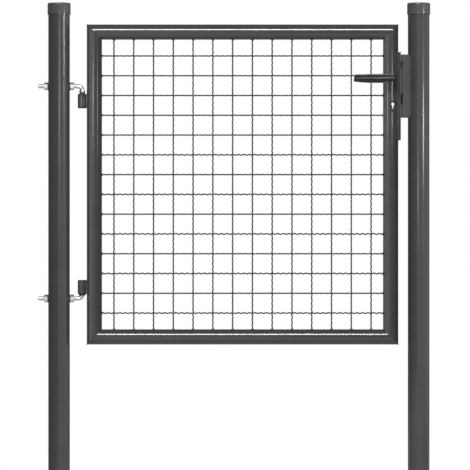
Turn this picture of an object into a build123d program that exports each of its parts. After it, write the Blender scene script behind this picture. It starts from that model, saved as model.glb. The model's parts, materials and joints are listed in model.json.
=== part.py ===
from build123d import *

import math
import os

# A single-leaf garden gate: a welded tube frame filled with crimped wire mesh, hung on two
# adjustable hook bolts between round posts, with a slim lock in the latch stile.
# Millimetres. X runs from the hinge post to the latch post, +Z is up, and -Y faces the visitor.
# The origin is the centre of the hinge post's foot.

os.makedirs("parts", exist_ok=True)

# Posts and caps
post_spacing = 1000.0
post_diameter = 60.0
post_wall = 1.5
post_above_leaf = 57.0
cap_wall = 2.0
cap_lip = 0.4
cap_lip_height = 3.0
cap_height = 32.0
cap_roof = 3.0
cap_edge_radius = 2.5
cap_clearance = 0.05

# Leaf frame
leaf_height = 890.0
leaf_bottom = 553.0
frame_diameter = 42.4
frame_wall = 1.5
latch_side_gap = 26.6

# Wire mesh, drawn here as straight wires in two layers
wire_diameter = 4.0
wire_pitch = 55.0
wire_layer_gap = 0.1
wire_edge_margin = 25.0

# Hinges
hinge_reach = 34.5
rod_diameter = 12.0
rod_hole_clearance = 0.25
rod_tail = 27.5
bend_radius = 12.0
upper_hinge_drop = 172.0
lower_hinge_rise = 128.0
sleeve_diameter = 25.0
sleeve_length = 34.0
upper_sleeve_drop = 24.0
lower_sleeve_rise = 14.5
weld_width = 9.0
bush_diameter = 17.0
bush_length = 12.0
bush_flange = 3.0
bush_flange_diameter = 24.0
bush_spigot = 3.7
bush_spigot_diameter = 15.0
pin_clearance = 0.05
collar_height = 5.0
collar_diameter = 17.0
thrust_collar_height = 3.0
thrust_collar_diameter = 14.0
thrust_collar_clearance = 0.5
cone_height = 6.0
cone_small_diameter = 18.0
pin_end_inset = 1.0
saddle_size = 22.0
saddle_thickness = 1.5
nut_across_flats = 19.0
nut_height = 10.0
thread_clearance = 0.05

# Lock
spindle_drop = 149.5
keyhole_drop = 72.0
backset = 22.0
forend_width = 24.0
forend_thickness = 3.0
forend_top_drop = 77.0
forend_height = 245.0
bar_thickness = 3.6
case_thickness = 16.0
case_wall = 1.2
case_top_rise = 50.0
case_bottom_drop = 101.0
case_clearance = 0.3
case_rear_clearance = 0.7
running_clearance = 0.05
screw_diameter = 5.0
screw_head_diameter = 9.0
screw_head_angle = 82.0
screw_length = 11.0
screw_edge_distance = 8.0
insert_round = 17.0
insert_stem = 10.0
insert_height = 33.0
insert_clearance = 0.1
insert_waist = 7.0
keyhole_round = 9.0
keyhole_slot = 3.4
keyhole_depth = 12.0
cylinder_screw_drop = 18.0
layer_overlap = 1.0

# Handle
spindle_square = 8.0
spindle_half_length = 45.0
square_clearance = 0.1
lever_angle = 40.0
trunnion_diameter = 15.0
follower_diameter = 18.0
follower_side_gap = 0.8
arm_thickness = 6.0
arm_tip_radius = 2.0
arm_gap = 0.8
lever_collar_diameter = 16.0
lever_hole_clearance = 1.0
lever_neck_diameter = 20.0
lever_stand_off = 0.6
lever_grip_near = 50.0
lever_grip_depth = 14.0
lever_hub_radius = 11.5
lever_reach = 107.0
lever_edge_radius = 4.0
lever_taper = 0.5
lever_end_slant = 2.6
lever_end_lift = 3.0
grub_screw_offset = 30.0
grub_screw_sink = 1.0

# Latch bolt and dead bolt
latch_rise = 35.0
latch_travel = 12.0
latch_head_height = 18.0
latch_head_side_gap = 1.3
latch_body_length = 19.0
latch_nose = 1.5
latch_head_clear = 3.5
tail_thickness = 2.2
tail_width = 6.0
strip_thickness = 3.0
strip_height = 8.0
strip_drop = 2.0
bolt_clearance = 0.2
dead_bolt_drop = 57.5
dead_bolt_height = 30.0
dead_bolt_thickness = 10.0
dead_bolt_proud = 0.5
dead_bolt_head_length = 12.0
dead_bolt_guide_length = 6.0
dead_bolt_travel = 14.0
dead_bolt_rear_gap = 1.5
dead_bolt_insert_gap = 2.0
stud_diameter = 4.0
stud_inset = 22.0
stud_rise = 5.5
latch_spring_diameter = 5.2
latch_spring_wire = 0.8
latch_spring_turns = 6
tumbler_pivot_inset = 6.0
tumbler_pivot_rise = 24.0
tumbler_thickness = 2.0
tumbler_tail = 4.0
tumbler_length = 24.0
tumbler_half_height = 4.0
tumbler_belly_start = 6.0
tumbler_belly_end = 14.0
tumbler_belly_depth = 2.0
tumbler_spring_length = 20.0
tumbler_spring_rise = 8.0
tumbler_spring_thickness = 0.5
tumbler_spring_radius = 60.0

# Strike
strike_gap = 1.2
strike_width = 38.0
strike_thickness = 2.5
strike_corner = 4.0
strike_height = 175.0
strike_top_drop = 84.0
latch_window_height = 21.0
dead_bolt_window_height = 34.0
window_depth = 4.0
vent_diameter = 7.0
vent_edge_distance = 11.0

# Places worked out from the sizes above
post_radius = post_diameter / 2
frame_radius = frame_diameter / 2
frame_inner_radius = frame_radius - frame_wall
pin_x = post_radius + hinge_reach
leaf_left = pin_x + sleeve_diameter / 2
leaf_right = post_spacing - post_radius - latch_side_gap
leaf_top = leaf_bottom + leaf_height
post_length = leaf_top + post_above_leaf
hinge_stile_x = leaf_left + frame_radius
latch_stile_x = leaf_right - frame_radius
bottom_rail_z = leaf_bottom + frame_radius
top_rail_z = leaf_top - frame_radius
upper_rod_z = leaf_top - upper_hinge_drop
lower_rod_z = leaf_bottom + lower_hinge_rise
upper_sleeve_z = upper_rod_z - upper_sleeve_drop - sleeve_length
lower_sleeve_z = lower_rod_z + lower_sleeve_rise
spindle_z = leaf_top - spindle_drop
keyhole_z = spindle_z - keyhole_drop
bar_x = leaf_right + bar_thickness
forend_x = bar_x + forend_thickness
lock_x = forend_x - backset
forend_z = leaf_top - forend_top_drop - forend_height
case_half = case_thickness / 2
inner_half = case_half - case_wall
follower_thickness = 2 * (inner_half - follower_side_gap)
latch_head_thickness = 2 * (inner_half - latch_head_side_gap)
case_rear_x = latch_stile_x - math.sqrt(frame_inner_radius**2 - case_half**2) + case_rear_clearance
case_low_z = spindle_z - case_bottom_drop
case_height = case_top_rise + case_bottom_drop
case_middle_z = case_low_z + case_height / 2
latch_z = spindle_z + latch_rise
dead_bolt_z = spindle_z - dead_bolt_drop
strike_x = forend_x + strike_gap
strike_low_z = leaf_top - strike_top_drop - strike_height
inner_rear_x = case_rear_x + case_wall
tail_right_x = lock_x - arm_tip_radius - arm_gap
arm_reach = (latch_travel + arm_gap / 3) / math.sin(math.radians(lever_angle))
rod_radius = rod_diameter / 2
bush_bore = rod_radius + pin_clearance


def save(piece, name):
    """Labels a finished piece and writes it as its own STEP file."""
    piece.part.label = name
    export_step(piece.part, f"parts/{name}.step")


def plane_x(x):
    """A plane square to the X axis at x, its own x along Y and its own y along Z."""
    return Plane.YZ.offset(x)


def plane_y(y):
    """A plane square to the Y axis at y, its own x along X and its own y along Z."""
    return Plane.XZ.offset(-y)


def profile_outline(extra):
    """The outline of a profile cylinder around the keyhole, grown by extra."""
    drop = insert_height - insert_round / 2 - insert_stem / 2
    with Locations((lock_x, keyhole_z)):
        Circle(insert_round / 2 + extra)
    with Locations((lock_x, keyhole_z - drop / 2)):
        Rectangle(insert_stem + 2 * extra, drop)
    with Locations((lock_x, keyhole_z - drop)):
        Circle(insert_stem / 2 + extra)


# Posts
def build_post(name, x, drilled):
    """A round post, drilled through for the two hook bolts where it carries the hinges."""
    with BuildPart() as post:
        with BuildSketch():
            with Locations((x, 0)):
                Circle(post_radius)
                Circle(post_radius - post_wall, mode=Mode.SUBTRACT)
        extrude(amount=post_length)
        if drilled:
            with BuildSketch(plane_x(x - post_diameter)):
                with Locations((0, upper_rod_z), (0, lower_rod_z)):
                    Circle(rod_radius + rod_hole_clearance)
            extrude(amount=2 * post_diameter, mode=Mode.SUBTRACT)
    save(post, name)


def build_cap(name, x):
    """A push-on cap: a thin skirt with a lip at its rim and a roof with a rounded edge."""
    bore = post_radius + cap_clearance
    outside = bore + cap_wall
    low = post_length + cap_roof - cap_height
    with BuildPart() as cap:
        with BuildSketch(Plane.XY.offset(low)):
            with Locations((x, 0)):
                Circle(outside)
        extrude(amount=cap_height)
        fillet(cap.edges().group_by(Axis.Z)[-1], cap_edge_radius)
        with BuildSketch(Plane.XY.offset(low)):
            with Locations((x, 0)):
                Circle(outside + cap_lip)
        extrude(amount=cap_lip_height)
        with BuildSketch(Plane.XY.offset(low)):
            with Locations((x, 0)):
                Circle(bore)
        extrude(amount=cap_height - cap_roof, mode=Mode.SUBTRACT)
    save(cap, name)


build_post("hinge_post", 0, True)
build_post("latch_post", post_spacing, False)
build_cap("hinge_post_cap", 0)
build_cap("latch_post_cap", post_spacing)


# Hinge hardware on the post
def build_hook(name, rod_z, pin_end_z, collar_z, collar_length, collar_width):
    """A threaded rod through the post, bent to a pin along the hinge axis, with a collar."""
    with BuildPart() as hook:
        with BuildLine(Plane.XZ) as path:
            FilletPolyline(
                (-post_radius - rod_tail, rod_z),
                (pin_x, rod_z),
                (pin_x, pin_end_z),
                radius=bend_radius,
            )
        with BuildSketch(Plane(origin=path.line @ 0, z_dir=path.line % 0)):
            Circle(rod_radius)
        sweep(path=path.line)
        with BuildSketch(Plane.XY.offset(collar_z)):
            with Locations((pin_x, 0)):
                Circle(collar_width / 2)
        extrude(amount=collar_length)
    save(hook, name)


upper_pin_end = upper_sleeve_z - bush_flange + pin_end_inset
lower_pin_end = lower_sleeve_z + sleeve_length + bush_flange - pin_end_inset
upper_collar_z = upper_rod_z - bend_radius - collar_height
thrust_collar_z = lower_rod_z + bend_radius - thrust_collar_height
build_hook("upper_hook_bolt", upper_rod_z, upper_pin_end, upper_collar_z, collar_height, collar_diameter)
build_hook(
    "lower_hook_bolt",
    lower_rod_z,
    lower_pin_end,
    thrust_collar_z,
    thrust_collar_height,
    thrust_collar_diameter,
)

with BuildPart() as saddle_washers:
    for rod_z in (upper_rod_z, lower_rod_z):
        with Locations((0, 0, rod_z)):
            Box(post_diameter + 2 * saddle_thickness, saddle_size, saddle_size)
    with BuildSketch(Plane.XY.offset(leaf_bottom)):
        Circle(post_radius)
    extrude(amount=leaf_height, mode=Mode.SUBTRACT)
    with BuildSketch(plane_x(-post_diameter)):
        with Locations((0, upper_rod_z), (0, lower_rod_z)):
            Circle(rod_radius + thread_clearance)
    extrude(amount=2 * post_diameter, mode=Mode.SUBTRACT)
save(saddle_washers, "saddle_washers")

nut_face = post_radius + saddle_thickness
with BuildPart() as hinge_nuts:
    for nut_x in (-nut_face - nut_height, nut_face):
        with BuildSketch(plane_x(nut_x)):
            with Locations((0, upper_rod_z), (0, lower_rod_z)):
                RegularPolygon(nut_across_flats / 2, 6, major_radius=False)
                Circle(rod_radius + thread_clearance, mode=Mode.SUBTRACT)
        extrude(amount=nut_height)
save(hinge_nuts, "hinge_nuts")


# Strike channel on the latch post
with BuildPart() as strike_channel:
    channel_depth = post_spacing - strike_x
    channel_middle = strike_x + channel_depth / 2
    with BuildSketch(Plane.XY.offset(strike_low_z)) as channel:
        with Locations((channel_middle, 0)):
            Rectangle(channel_depth, strike_width)
        fillet(channel.vertices().group_by(Axis.X)[0], strike_corner)
        with BuildSketch(mode=Mode.SUBTRACT) as hollow:
            with Locations((channel_middle + strike_thickness, 0)):
                Rectangle(channel_depth, strike_width - 2 * strike_thickness)
            fillet(hollow.vertices().group_by(Axis.X)[0], strike_corner - strike_thickness)
        with Locations((post_spacing, 0)):
            Circle(post_radius, mode=Mode.SUBTRACT)
    extrude(amount=strike_height)
    with BuildSketch(plane_x(strike_x)):
        window_middle = -strike_corner / 2
        with Locations((window_middle, latch_z)):
            Rectangle(strike_width - strike_corner, latch_window_height)
        with Locations((window_middle, dead_bolt_z)):
            Rectangle(strike_width - strike_corner, dead_bolt_window_height)
    extrude(amount=window_depth, mode=Mode.SUBTRACT)
    with BuildSketch(plane_x(strike_x)):
        with Locations(
            (0, strike_low_z + vent_edge_distance),
            (0, strike_low_z + strike_height - vent_edge_distance),
        ):
            Circle(vent_diameter / 2)
    extrude(amount=2 * strike_thickness, mode=Mode.SUBTRACT)
save(strike_channel, "strike_channel")


# Leaf frame: four tubes mitred at the corners
def corner(x, z, across, along):
    """The mitre plane at a corner of the frame, its normal towards the tube that is kept."""
    return Plane(origin=(x, 0, z), z_dir=(across, 0, along))


def cut_mitres(first, second):
    """Cuts the tube in progress at its two mitre planes."""
    split(bisect_by=first, keep=Keep.TOP)
    split(bisect_by=second, keep=Keep.TOP)


def build_rail(name, z, rise):
    """A rail between the stiles; rise is 1 for the top rail and -1 for the bottom one."""
    with BuildPart() as rail:
        with BuildSketch(plane_x(leaf_left)):
            with Locations((0, z)):
                Circle(frame_radius)
                Circle(frame_inner_radius, mode=Mode.SUBTRACT)
        extrude(amount=leaf_right - leaf_left)
        cut_mitres(corner(hinge_stile_x, z, 1, rise), corner(latch_stile_x, z, -1, rise))
    save(rail, name)


build_rail("top_rail", top_rail_z, 1)
build_rail("bottom_rail", bottom_rail_z, -1)

with BuildPart() as hinge_stile:
    with BuildSketch(Plane.XY.offset(leaf_bottom)):
        with Locations((hinge_stile_x, 0)):
            Circle(frame_radius)
            Circle(frame_inner_radius, mode=Mode.SUBTRACT)
    extrude(amount=leaf_height)
    cut_mitres(
        corner(hinge_stile_x, bottom_rail_z, -1, 1),
        corner(hinge_stile_x, top_rail_z, -1, -1),
    )
save(hinge_stile, "hinge_stile")

screw_heights = (
    forend_z + screw_edge_distance,
    forend_z + forend_height - screw_edge_distance,
)
case_slot_width = case_thickness + 2 * case_clearance
case_slot_height = case_height + 2 * case_clearance

with BuildPart() as latch_stile:
    with BuildSketch(Plane.XY.offset(leaf_bottom)):
        with Locations((latch_stile_x, 0)):
            Circle(frame_radius)
            Circle(frame_inner_radius, mode=Mode.SUBTRACT)
    extrude(amount=leaf_height)
    cut_mitres(
        corner(latch_stile_x, bottom_rail_z, 1, 1),
        corner(latch_stile_x, top_rail_z, 1, -1),
    )
    with BuildSketch(plane_x(latch_stile_x)):
        with Locations((0, case_middle_z)):
            Rectangle(case_slot_width, case_slot_height)
        for screw_z in screw_heights:
            with Locations((0, screw_z)):
                Circle(screw_diameter / 2)
    extrude(amount=frame_diameter, mode=Mode.SUBTRACT)
    with BuildSketch(plane_y(-frame_diameter)):
        with Locations((lock_x, spindle_z)):
            Circle(lever_collar_diameter / 2 + lever_hole_clearance)
        profile_outline(insert_clearance)
    extrude(amount=-2 * frame_diameter, mode=Mode.SUBTRACT)
save(latch_stile, "latch_stile")


# Wire mesh, each wire cut to the frame tubes where it is welded
def wire_places(low, high):
    """The evenly pitched wires that fit between two tube axes, centred between them."""
    room = high - low - frame_diameter - 2 * wire_edge_margin
    steps = math.floor(room / wire_pitch)
    first = (low + high - steps * wire_pitch) / 2
    return [first + wire_pitch * step for step in range(steps + 1)]


wire_radius = wire_diameter / 2
wire_layer = wire_radius + wire_layer_gap / 2

with BuildPart() as mesh_verticals:
    with BuildSketch(Plane.XY.offset(bottom_rail_z)):
        for wire_x in wire_places(hinge_stile_x, latch_stile_x):
            with Locations((wire_x, -wire_layer)):
                Circle(wire_radius)
    extrude(amount=top_rail_z - bottom_rail_z)
    with BuildSketch(plane_x(leaf_left)):
        with Locations((0, bottom_rail_z), (0, top_rail_z)):
            Circle(frame_radius)
    extrude(amount=leaf_right - leaf_left, mode=Mode.SUBTRACT)
save(mesh_verticals, "mesh_verticals")

with BuildPart() as mesh_horizontals:
    with BuildSketch(plane_x(hinge_stile_x)):
        for wire_z in wire_places(bottom_rail_z, top_rail_z):
            with Locations((wire_layer, wire_z)):
                Circle(wire_radius)
    extrude(amount=latch_stile_x - hinge_stile_x)
    with BuildSketch(Plane.XY.offset(leaf_bottom)):
        with Locations((hinge_stile_x, 0), (latch_stile_x, 0)):
            Circle(frame_radius)
    extrude(amount=leaf_height, mode=Mode.SUBTRACT)
save(mesh_horizontals, "mesh_horizontals")


# Hinge sleeves welded to the stile, with a flanged bush pressed in at each end
def build_sleeve(name, low_z):
    """A sleeve on the hinge axis with its weld to the stile's wall."""
    with BuildPart() as sleeve:
        with BuildSketch(Plane.XY.offset(low_z)):
            with Locations((pin_x, 0)):
                Circle(sleeve_diameter / 2)
            with Locations(((pin_x + hinge_stile_x) / 2, 0)):
                Rectangle(hinge_stile_x - pin_x, weld_width)
            with Locations((hinge_stile_x, 0)):
                Circle(frame_radius, mode=Mode.SUBTRACT)
            with Locations((pin_x, 0)):
                Circle(bush_diameter / 2, mode=Mode.SUBTRACT)
        extrude(amount=sleeve_length)
    save(sleeve, name)


def pin_cylinder(low_z, height, diameter, mode=Mode.ADD):
    """A cylinder on the hinge axis, added to or cut from the piece in progress."""
    with Locations((pin_x, 0, low_z)):
        Cylinder(diameter / 2, height, align=(Align.CENTER, Align.CENTER, Align.MIN), mode=mode)


build_sleeve("upper_hinge_sleeve", upper_sleeve_z)
build_sleeve("lower_hinge_sleeve", lower_sleeve_z)

with BuildPart() as upper_top_bush:
    flange_z = upper_sleeve_z + sleeve_length
    pin_cylinder(flange_z - bush_length, bush_length, bush_diameter)
    pin_cylinder(flange_z, bush_flange, bush_flange_diameter)
    pin_cylinder(flange_z + bush_flange, bush_spigot, bush_spigot_diameter)
    pin_cylinder(flange_z - bush_length, 2 * sleeve_length, 2 * bush_bore, Mode.SUBTRACT)
save(upper_top_bush, "upper_top_bush")

with BuildPart() as upper_bottom_bush:
    pin_cylinder(upper_sleeve_z, bush_length, bush_diameter)
    pin_cylinder(upper_sleeve_z - bush_flange, bush_flange, bush_flange_diameter)
    pin_cylinder(upper_sleeve_z - bush_flange, sleeve_length, 2 * bush_bore, Mode.SUBTRACT)
save(upper_bottom_bush, "upper_bottom_bush")

with BuildPart() as lower_top_bush:
    flange_z = lower_sleeve_z + sleeve_length
    pin_cylinder(flange_z - bush_length, bush_length, bush_diameter)
    pin_cylinder(flange_z, bush_flange, bush_flange_diameter)
    pin_cylinder(flange_z - bush_length, sleeve_length, 2 * bush_bore, Mode.SUBTRACT)
save(lower_top_bush, "lower_top_bush")

# The lower sleeve stands on a tapered bush, which turns on the hook's thrust collar
with BuildPart() as lower_thrust_bush:
    cone_z = lower_sleeve_z - cone_height
    seat_z = lower_rod_z + bend_radius + pin_clearance
    with BuildSketch(Plane.XY.offset(cone_z)):
        with Locations((pin_x, 0)):
            Circle(cone_small_diameter / 2)
    with BuildSketch(Plane.XY.offset(lower_sleeve_z)):
        with Locations((pin_x, 0)):
            Circle(bush_flange_diameter / 2)
    loft()
    pin_cylinder(lower_sleeve_z, bush_length, bush_diameter)
    recess_diameter = thrust_collar_diameter + 2 * thrust_collar_clearance
    pin_cylinder(cone_z, seat_z - cone_z, recess_diameter, Mode.SUBTRACT)
    pin_cylinder(cone_z, sleeve_length, 2 * bush_bore, Mode.SUBTRACT)
save(lower_thrust_bush, "lower_thrust_bush")


# Lock: a flat bar welded to the stile carries the forend
def forend_openings(clearance):
    """The openings for both bolts and the key insert's screw, in a plane square to X."""
    with Locations((0, latch_z)):
        Rectangle(latch_head_thickness + 2 * clearance, latch_head_height + 2 * clearance)
    with Locations((0, dead_bolt_z)):
        Rectangle(dead_bolt_thickness + 2 * clearance, dead_bolt_height + 2 * clearance)
    with Locations((0, keyhole_z - cylinder_screw_drop)):
        Circle(screw_diameter / 2 + running_clearance)


with BuildPart() as lock_backing_bar:
    bar_rear = latch_stile_x + math.sqrt(frame_radius**2 - (forend_width / 2) ** 2)
    with BuildSketch(plane_x(bar_rear)):
        with Locations((0, forend_z + forend_height / 2)):
            Rectangle(forend_width, forend_height)
        with Locations((0, case_middle_z)):
            Rectangle(case_slot_width, case_slot_height, mode=Mode.SUBTRACT)
        for screw_z in screw_heights:
            with Locations((0, screw_z)):
                Circle(screw_diameter / 2, mode=Mode.SUBTRACT)
    extrude(amount=bar_x - bar_rear)
    with BuildSketch(Plane.XY.offset(leaf_bottom)):
        with Locations((latch_stile_x, 0)):
            Circle(frame_radius)
    extrude(amount=leaf_height, mode=Mode.SUBTRACT)
save(lock_backing_bar, "lock_backing_bar")

with BuildPart() as forend:
    with BuildSketch(plane_x(bar_x)):
        with Locations((0, forend_z + forend_height / 2)):
            Rectangle(forend_width, forend_height)
        with BuildSketch(mode=Mode.SUBTRACT):
            forend_openings(bolt_clearance)
    extrude(amount=forend_thickness)
    for screw_z in screw_heights:
        with Locations(Plane(origin=(forend_x, 0, screw_z), z_dir=(1, 0, 0))):
            CounterSinkHole(
                screw_diameter / 2,
                screw_head_diameter / 2,
                forend_thickness,
                screw_head_angle,
            )
save(forend, "forend")

with BuildPart() as forend_screws:
    head_depth = (screw_head_diameter - screw_diameter) / 2 / math.tan(math.radians(screw_head_angle / 2))
    for screw_z in screw_heights:
        with BuildSketch(plane_x(forend_x - screw_length)):
            with Locations((0, screw_z)):
                Circle(screw_diameter / 2)
        extrude(amount=screw_length)
        with BuildSketch(plane_x(forend_x - head_depth)):
            with Locations((0, screw_z)):
                Circle(screw_diameter / 2)
        with BuildSketch(plane_x(forend_x)):
            with Locations((0, screw_z)):
                Circle(screw_head_diameter / 2)
        loft()
save(forend_screws, "forend_screws")

case_length = bar_x - case_rear_x
case_middle_x = case_rear_x + case_length / 2
stud_x = case_rear_x + stud_inset
stud_z = dead_bolt_z + stud_rise
tumbler_pivot_x = case_rear_x + tumbler_pivot_inset
tumbler_pivot_z = dead_bolt_z + tumbler_pivot_rise


def case_holes():
    """The holes through both sides of the case: the handle's bearing and the key insert."""
    with Locations((lock_x, spindle_z)):
        Circle(trunnion_diameter / 2 + running_clearance)
    profile_outline(insert_clearance)


with BuildPart() as lock_case:
    with BuildSketch(plane_y(case_half)):
        with Locations((case_middle_x, case_middle_z)):
            Rectangle(case_length, case_height)
    extrude(amount=case_half + inner_half)
    with BuildSketch(plane_y(inner_half)):
        with Locations((case_middle_x + case_wall, case_middle_z)):
            Rectangle(case_length, case_height - 2 * case_wall)
    extrude(amount=2 * inner_half, mode=Mode.SUBTRACT)
    with BuildSketch(plane_y(case_half)):
        case_holes()
    extrude(amount=case_wall, mode=Mode.SUBTRACT)
    with BuildSketch(plane_y(inner_half)):
        with Locations((stud_x, stud_z), (tumbler_pivot_x, tumbler_pivot_z)):
            Circle(stud_diameter / 2)
    extrude(amount=2 * inner_half)
save(lock_case, "lock_case")

with BuildPart() as lock_cover:
    with BuildSketch(plane_y(-inner_half)):
        with Locations((case_middle_x, case_middle_z)):
            Rectangle(case_length, case_height)
        with BuildSketch(mode=Mode.SUBTRACT):
            case_holes()
    extrude(amount=case_wall)
save(lock_cover, "lock_cover")

with BuildPart() as key_insert:
    with BuildSketch(plane_y(case_half)):
        profile_outline(0)
        with Locations((lock_x, keyhole_z)):
            Circle(keyhole_round / 2, mode=Mode.SUBTRACT)
        with Locations((lock_x, keyhole_z - keyhole_depth / 2)):
            Rectangle(keyhole_slot, keyhole_depth, mode=Mode.SUBTRACT)
    extrude(amount=case_thickness)
    with BuildSketch(plane_y(insert_waist / 2)):
        with Locations((lock_x, keyhole_z)):
            Rectangle(2 * insert_round, insert_round)
    extrude(amount=insert_waist, mode=Mode.SUBTRACT)
    with BuildSketch(plane_x(lock_x)):
        with Locations((0, keyhole_z - cylinder_screw_drop)):
            Circle(screw_diameter / 2)
    extrude(amount=frame_diameter, mode=Mode.SUBTRACT)
save(key_insert, "key_insert")

with BuildPart() as cylinder_screw:
    with BuildSketch(plane_x(lock_x + layer_overlap)):
        with Locations((0, keyhole_z - cylinder_screw_drop)):
            Circle(screw_diameter / 2)
    extrude(amount=forend_x - lock_x - layer_overlap)
save(cylinder_screw, "cylinder_screw")

tumbler_low_z = tumbler_pivot_z - tumbler_half_height
tumbler_top_z = tumbler_pivot_z + tumbler_half_height
belly_z = dead_bolt_z - tumbler_belly_depth

with BuildPart() as tumbler:
    with BuildSketch(plane_y(-strip_thickness)):
        with BuildLine():
            Polyline(
                (tumbler_pivot_x - tumbler_tail, tumbler_low_z),
                (tumbler_pivot_x + tumbler_belly_start, tumbler_low_z),
                (tumbler_pivot_x + tumbler_belly_start + 1, belly_z),
                (tumbler_pivot_x + tumbler_belly_end - tumbler_belly_depth, belly_z),
                (tumbler_pivot_x + tumbler_belly_end, tumbler_low_z),
                (tumbler_pivot_x + tumbler_length, tumbler_low_z),
                (tumbler_pivot_x + tumbler_length, tumbler_top_z),
                (tumbler_pivot_x - tumbler_tail, tumbler_top_z),
                close=True,
            )
        make_face()
        with Locations((tumbler_pivot_x, tumbler_pivot_z)):
            Circle(stud_diameter / 2 + running_clearance, mode=Mode.SUBTRACT)
    extrude(amount=tumbler_thickness)
save(tumbler, "tumbler")

with BuildPart() as tumbler_spring:
    spring_right = tumbler_pivot_x + tumbler_spring_length
    low_left = (inner_rear_x, tumbler_top_z + tumbler_spring_rise)
    low_right = (spring_right, tumbler_top_z)
    high_right = (spring_right, tumbler_top_z + tumbler_spring_thickness)
    high_left = (inner_rear_x, tumbler_top_z + tumbler_spring_rise + tumbler_spring_thickness)
    with BuildSketch(plane_y(-strip_thickness)):
        with BuildLine():
            RadiusArc(low_left, low_right, tumbler_spring_radius)
            Line(low_right, high_right)
            RadiusArc(high_right, high_left, -tumbler_spring_radius)
            Line(high_left, low_left)
        make_face()
    extrude(amount=tumbler_thickness)
save(tumbler_spring, "tumbler_spring")


# Handle: follower, spindle and a lever on each side
with BuildPart() as follower:
    with BuildSketch(plane_y(case_half)):
        with Locations((lock_x, spindle_z)):
            Circle(trunnion_diameter / 2)
    extrude(amount=case_thickness)
    with BuildSketch(plane_y(follower_thickness / 2)):
        with Locations((lock_x, spindle_z)):
            Circle(follower_diameter / 2)
    extrude(amount=follower_thickness)
    with BuildSketch(plane_y(arm_thickness / 2)):
        with Locations((lock_x, spindle_z + arm_reach / 2)):
            Rectangle(2 * arm_tip_radius, arm_reach)
        with Locations((lock_x, spindle_z + arm_reach)):
            Circle(arm_tip_radius)
    extrude(amount=arm_thickness)
    with BuildSketch(plane_y(case_half)):
        with Locations((lock_x, spindle_z)):
            Rectangle(spindle_square + square_clearance, spindle_square + square_clearance)
    extrude(amount=case_thickness, mode=Mode.SUBTRACT)
save(follower, "follower")

with BuildPart() as spindle:
    with Locations((lock_x, 0, spindle_z)):
        Box(spindle_square, 2 * spindle_half_length, spindle_square)
save(spindle, "spindle")


def build_lever(name, side):
    """A lever handle; side is -1 at the front of the gate and 1 at the back."""
    collar_near = case_half + lever_stand_off
    neck_near = frame_radius + lever_stand_off
    grip_far = lever_grip_near + lever_grip_depth
    tip_x = lock_x - lever_reach

    def layer(near, far, mode=Mode.ADD):
        """Extrudes the pending sketch, drawn on the plane at near, out to far."""
        extrude(amount=-side * (far - near), mode=mode)

    with BuildPart() as lever:
        with BuildSketch(plane_y(side * lever_grip_near)) as grip:
            with BuildLine():
                Polyline(
                    (lock_x, spindle_z + lever_hub_radius),
                    (tip_x + lever_end_slant, spindle_z + lever_hub_radius - lever_taper),
                    (tip_x, spindle_z - lever_hub_radius + lever_end_lift),
                    (lock_x - lever_reach / 2, spindle_z - lever_hub_radius + lever_taper),
                    (lock_x, spindle_z - lever_hub_radius),
                    close=True,
                )
            make_face()
            with Locations((lock_x, spindle_z)):
                Circle(lever_hub_radius)
        layer(lever_grip_near, grip_far)
        outer_face = lever.faces().filter_by(Axis.Y).sort_by(Axis.Y)[0 if side < 0 else -1]
        fillet(outer_face.edges(), lever_edge_radius)
        with BuildSketch(plane_y(side * neck_near)):
            with Locations((lock_x, spindle_z)):
                Circle(lever_neck_diameter / 2)
        layer(neck_near, lever_grip_near + layer_overlap)
        with BuildSketch(plane_y(side * collar_near)):
            with Locations((lock_x, spindle_z)):
                Circle(lever_collar_diameter / 2)
        layer(collar_near, neck_near + layer_overlap)
        with BuildSketch(plane_y(side * collar_near)):
            with Locations((lock_x, spindle_z)):
                Rectangle(spindle_square + square_clearance, spindle_square + square_clearance)
        layer(collar_near, spindle_half_length + layer_overlap / 2, Mode.SUBTRACT)
        with BuildSketch(Plane.XY.offset(spindle_z - lever_neck_diameter)):
            with Locations((lock_x, side * grub_screw_offset)):
                Circle(screw_diameter / 2)
        extrude(amount=lever_neck_diameter - spindle_square / 2, mode=Mode.SUBTRACT)
    save(lever, name)


build_lever("front_lever", -1)
build_lever("back_lever", 1)

with BuildPart() as lever_grub_screws:
    grub_low_z = spindle_z - lever_neck_diameter / 2 + grub_screw_sink
    with BuildSketch(Plane.XY.offset(grub_low_z)):
        for side in (-1, 1):
            with Locations((lock_x, side * grub_screw_offset)):
                Circle(screw_diameter / 2)
    extrude(amount=spindle_z - spindle_square / 2 - grub_low_z)
save(lever_grub_screws, "lever_grub_screws")


# Latch bolt: a bevelled head, a strip behind it and a tail that the follower's arm pushes
latch_tip_x = forend_x + latch_travel
latch_back_x = forend_x - latch_body_length
latch_half = latch_head_thickness / 2
tail_left_x = tail_right_x - tail_thickness
tail_low_z = spindle_z + arm_reach * math.cos(math.radians(lever_angle)) - arm_gap / 2

with BuildPart() as latch_bolt:
    with BuildSketch(Plane.XY.offset(latch_z - latch_head_height / 2)):
        with BuildLine():
            Polyline(
                (latch_back_x, -latch_half),
                (latch_tip_x, -latch_half),
                (latch_tip_x, -latch_half + latch_nose),
                (forend_x + latch_head_clear, latch_half),
                (latch_back_x, latch_half),
                close=True,
            )
        make_face()
    extrude(amount=latch_head_height)
    strip_low_z = latch_z - strip_height / 2 - strip_drop
    with BuildSketch(plane_y(strip_thickness / 2)):
        with Locations(((tail_left_x + latch_back_x) / 2, strip_low_z + strip_height / 2)):
            Rectangle(latch_back_x - tail_left_x, strip_height)
    extrude(amount=strip_thickness)
    with BuildSketch(plane_y(tail_width / 2)):
        with Locations((tail_left_x + tail_thickness / 2, (strip_low_z + strip_height + tail_low_z) / 2)):
            Rectangle(tail_thickness, strip_low_z + strip_height - tail_low_z)
    extrude(amount=tail_width)
save(latch_bolt, "latch_bolt")

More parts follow.
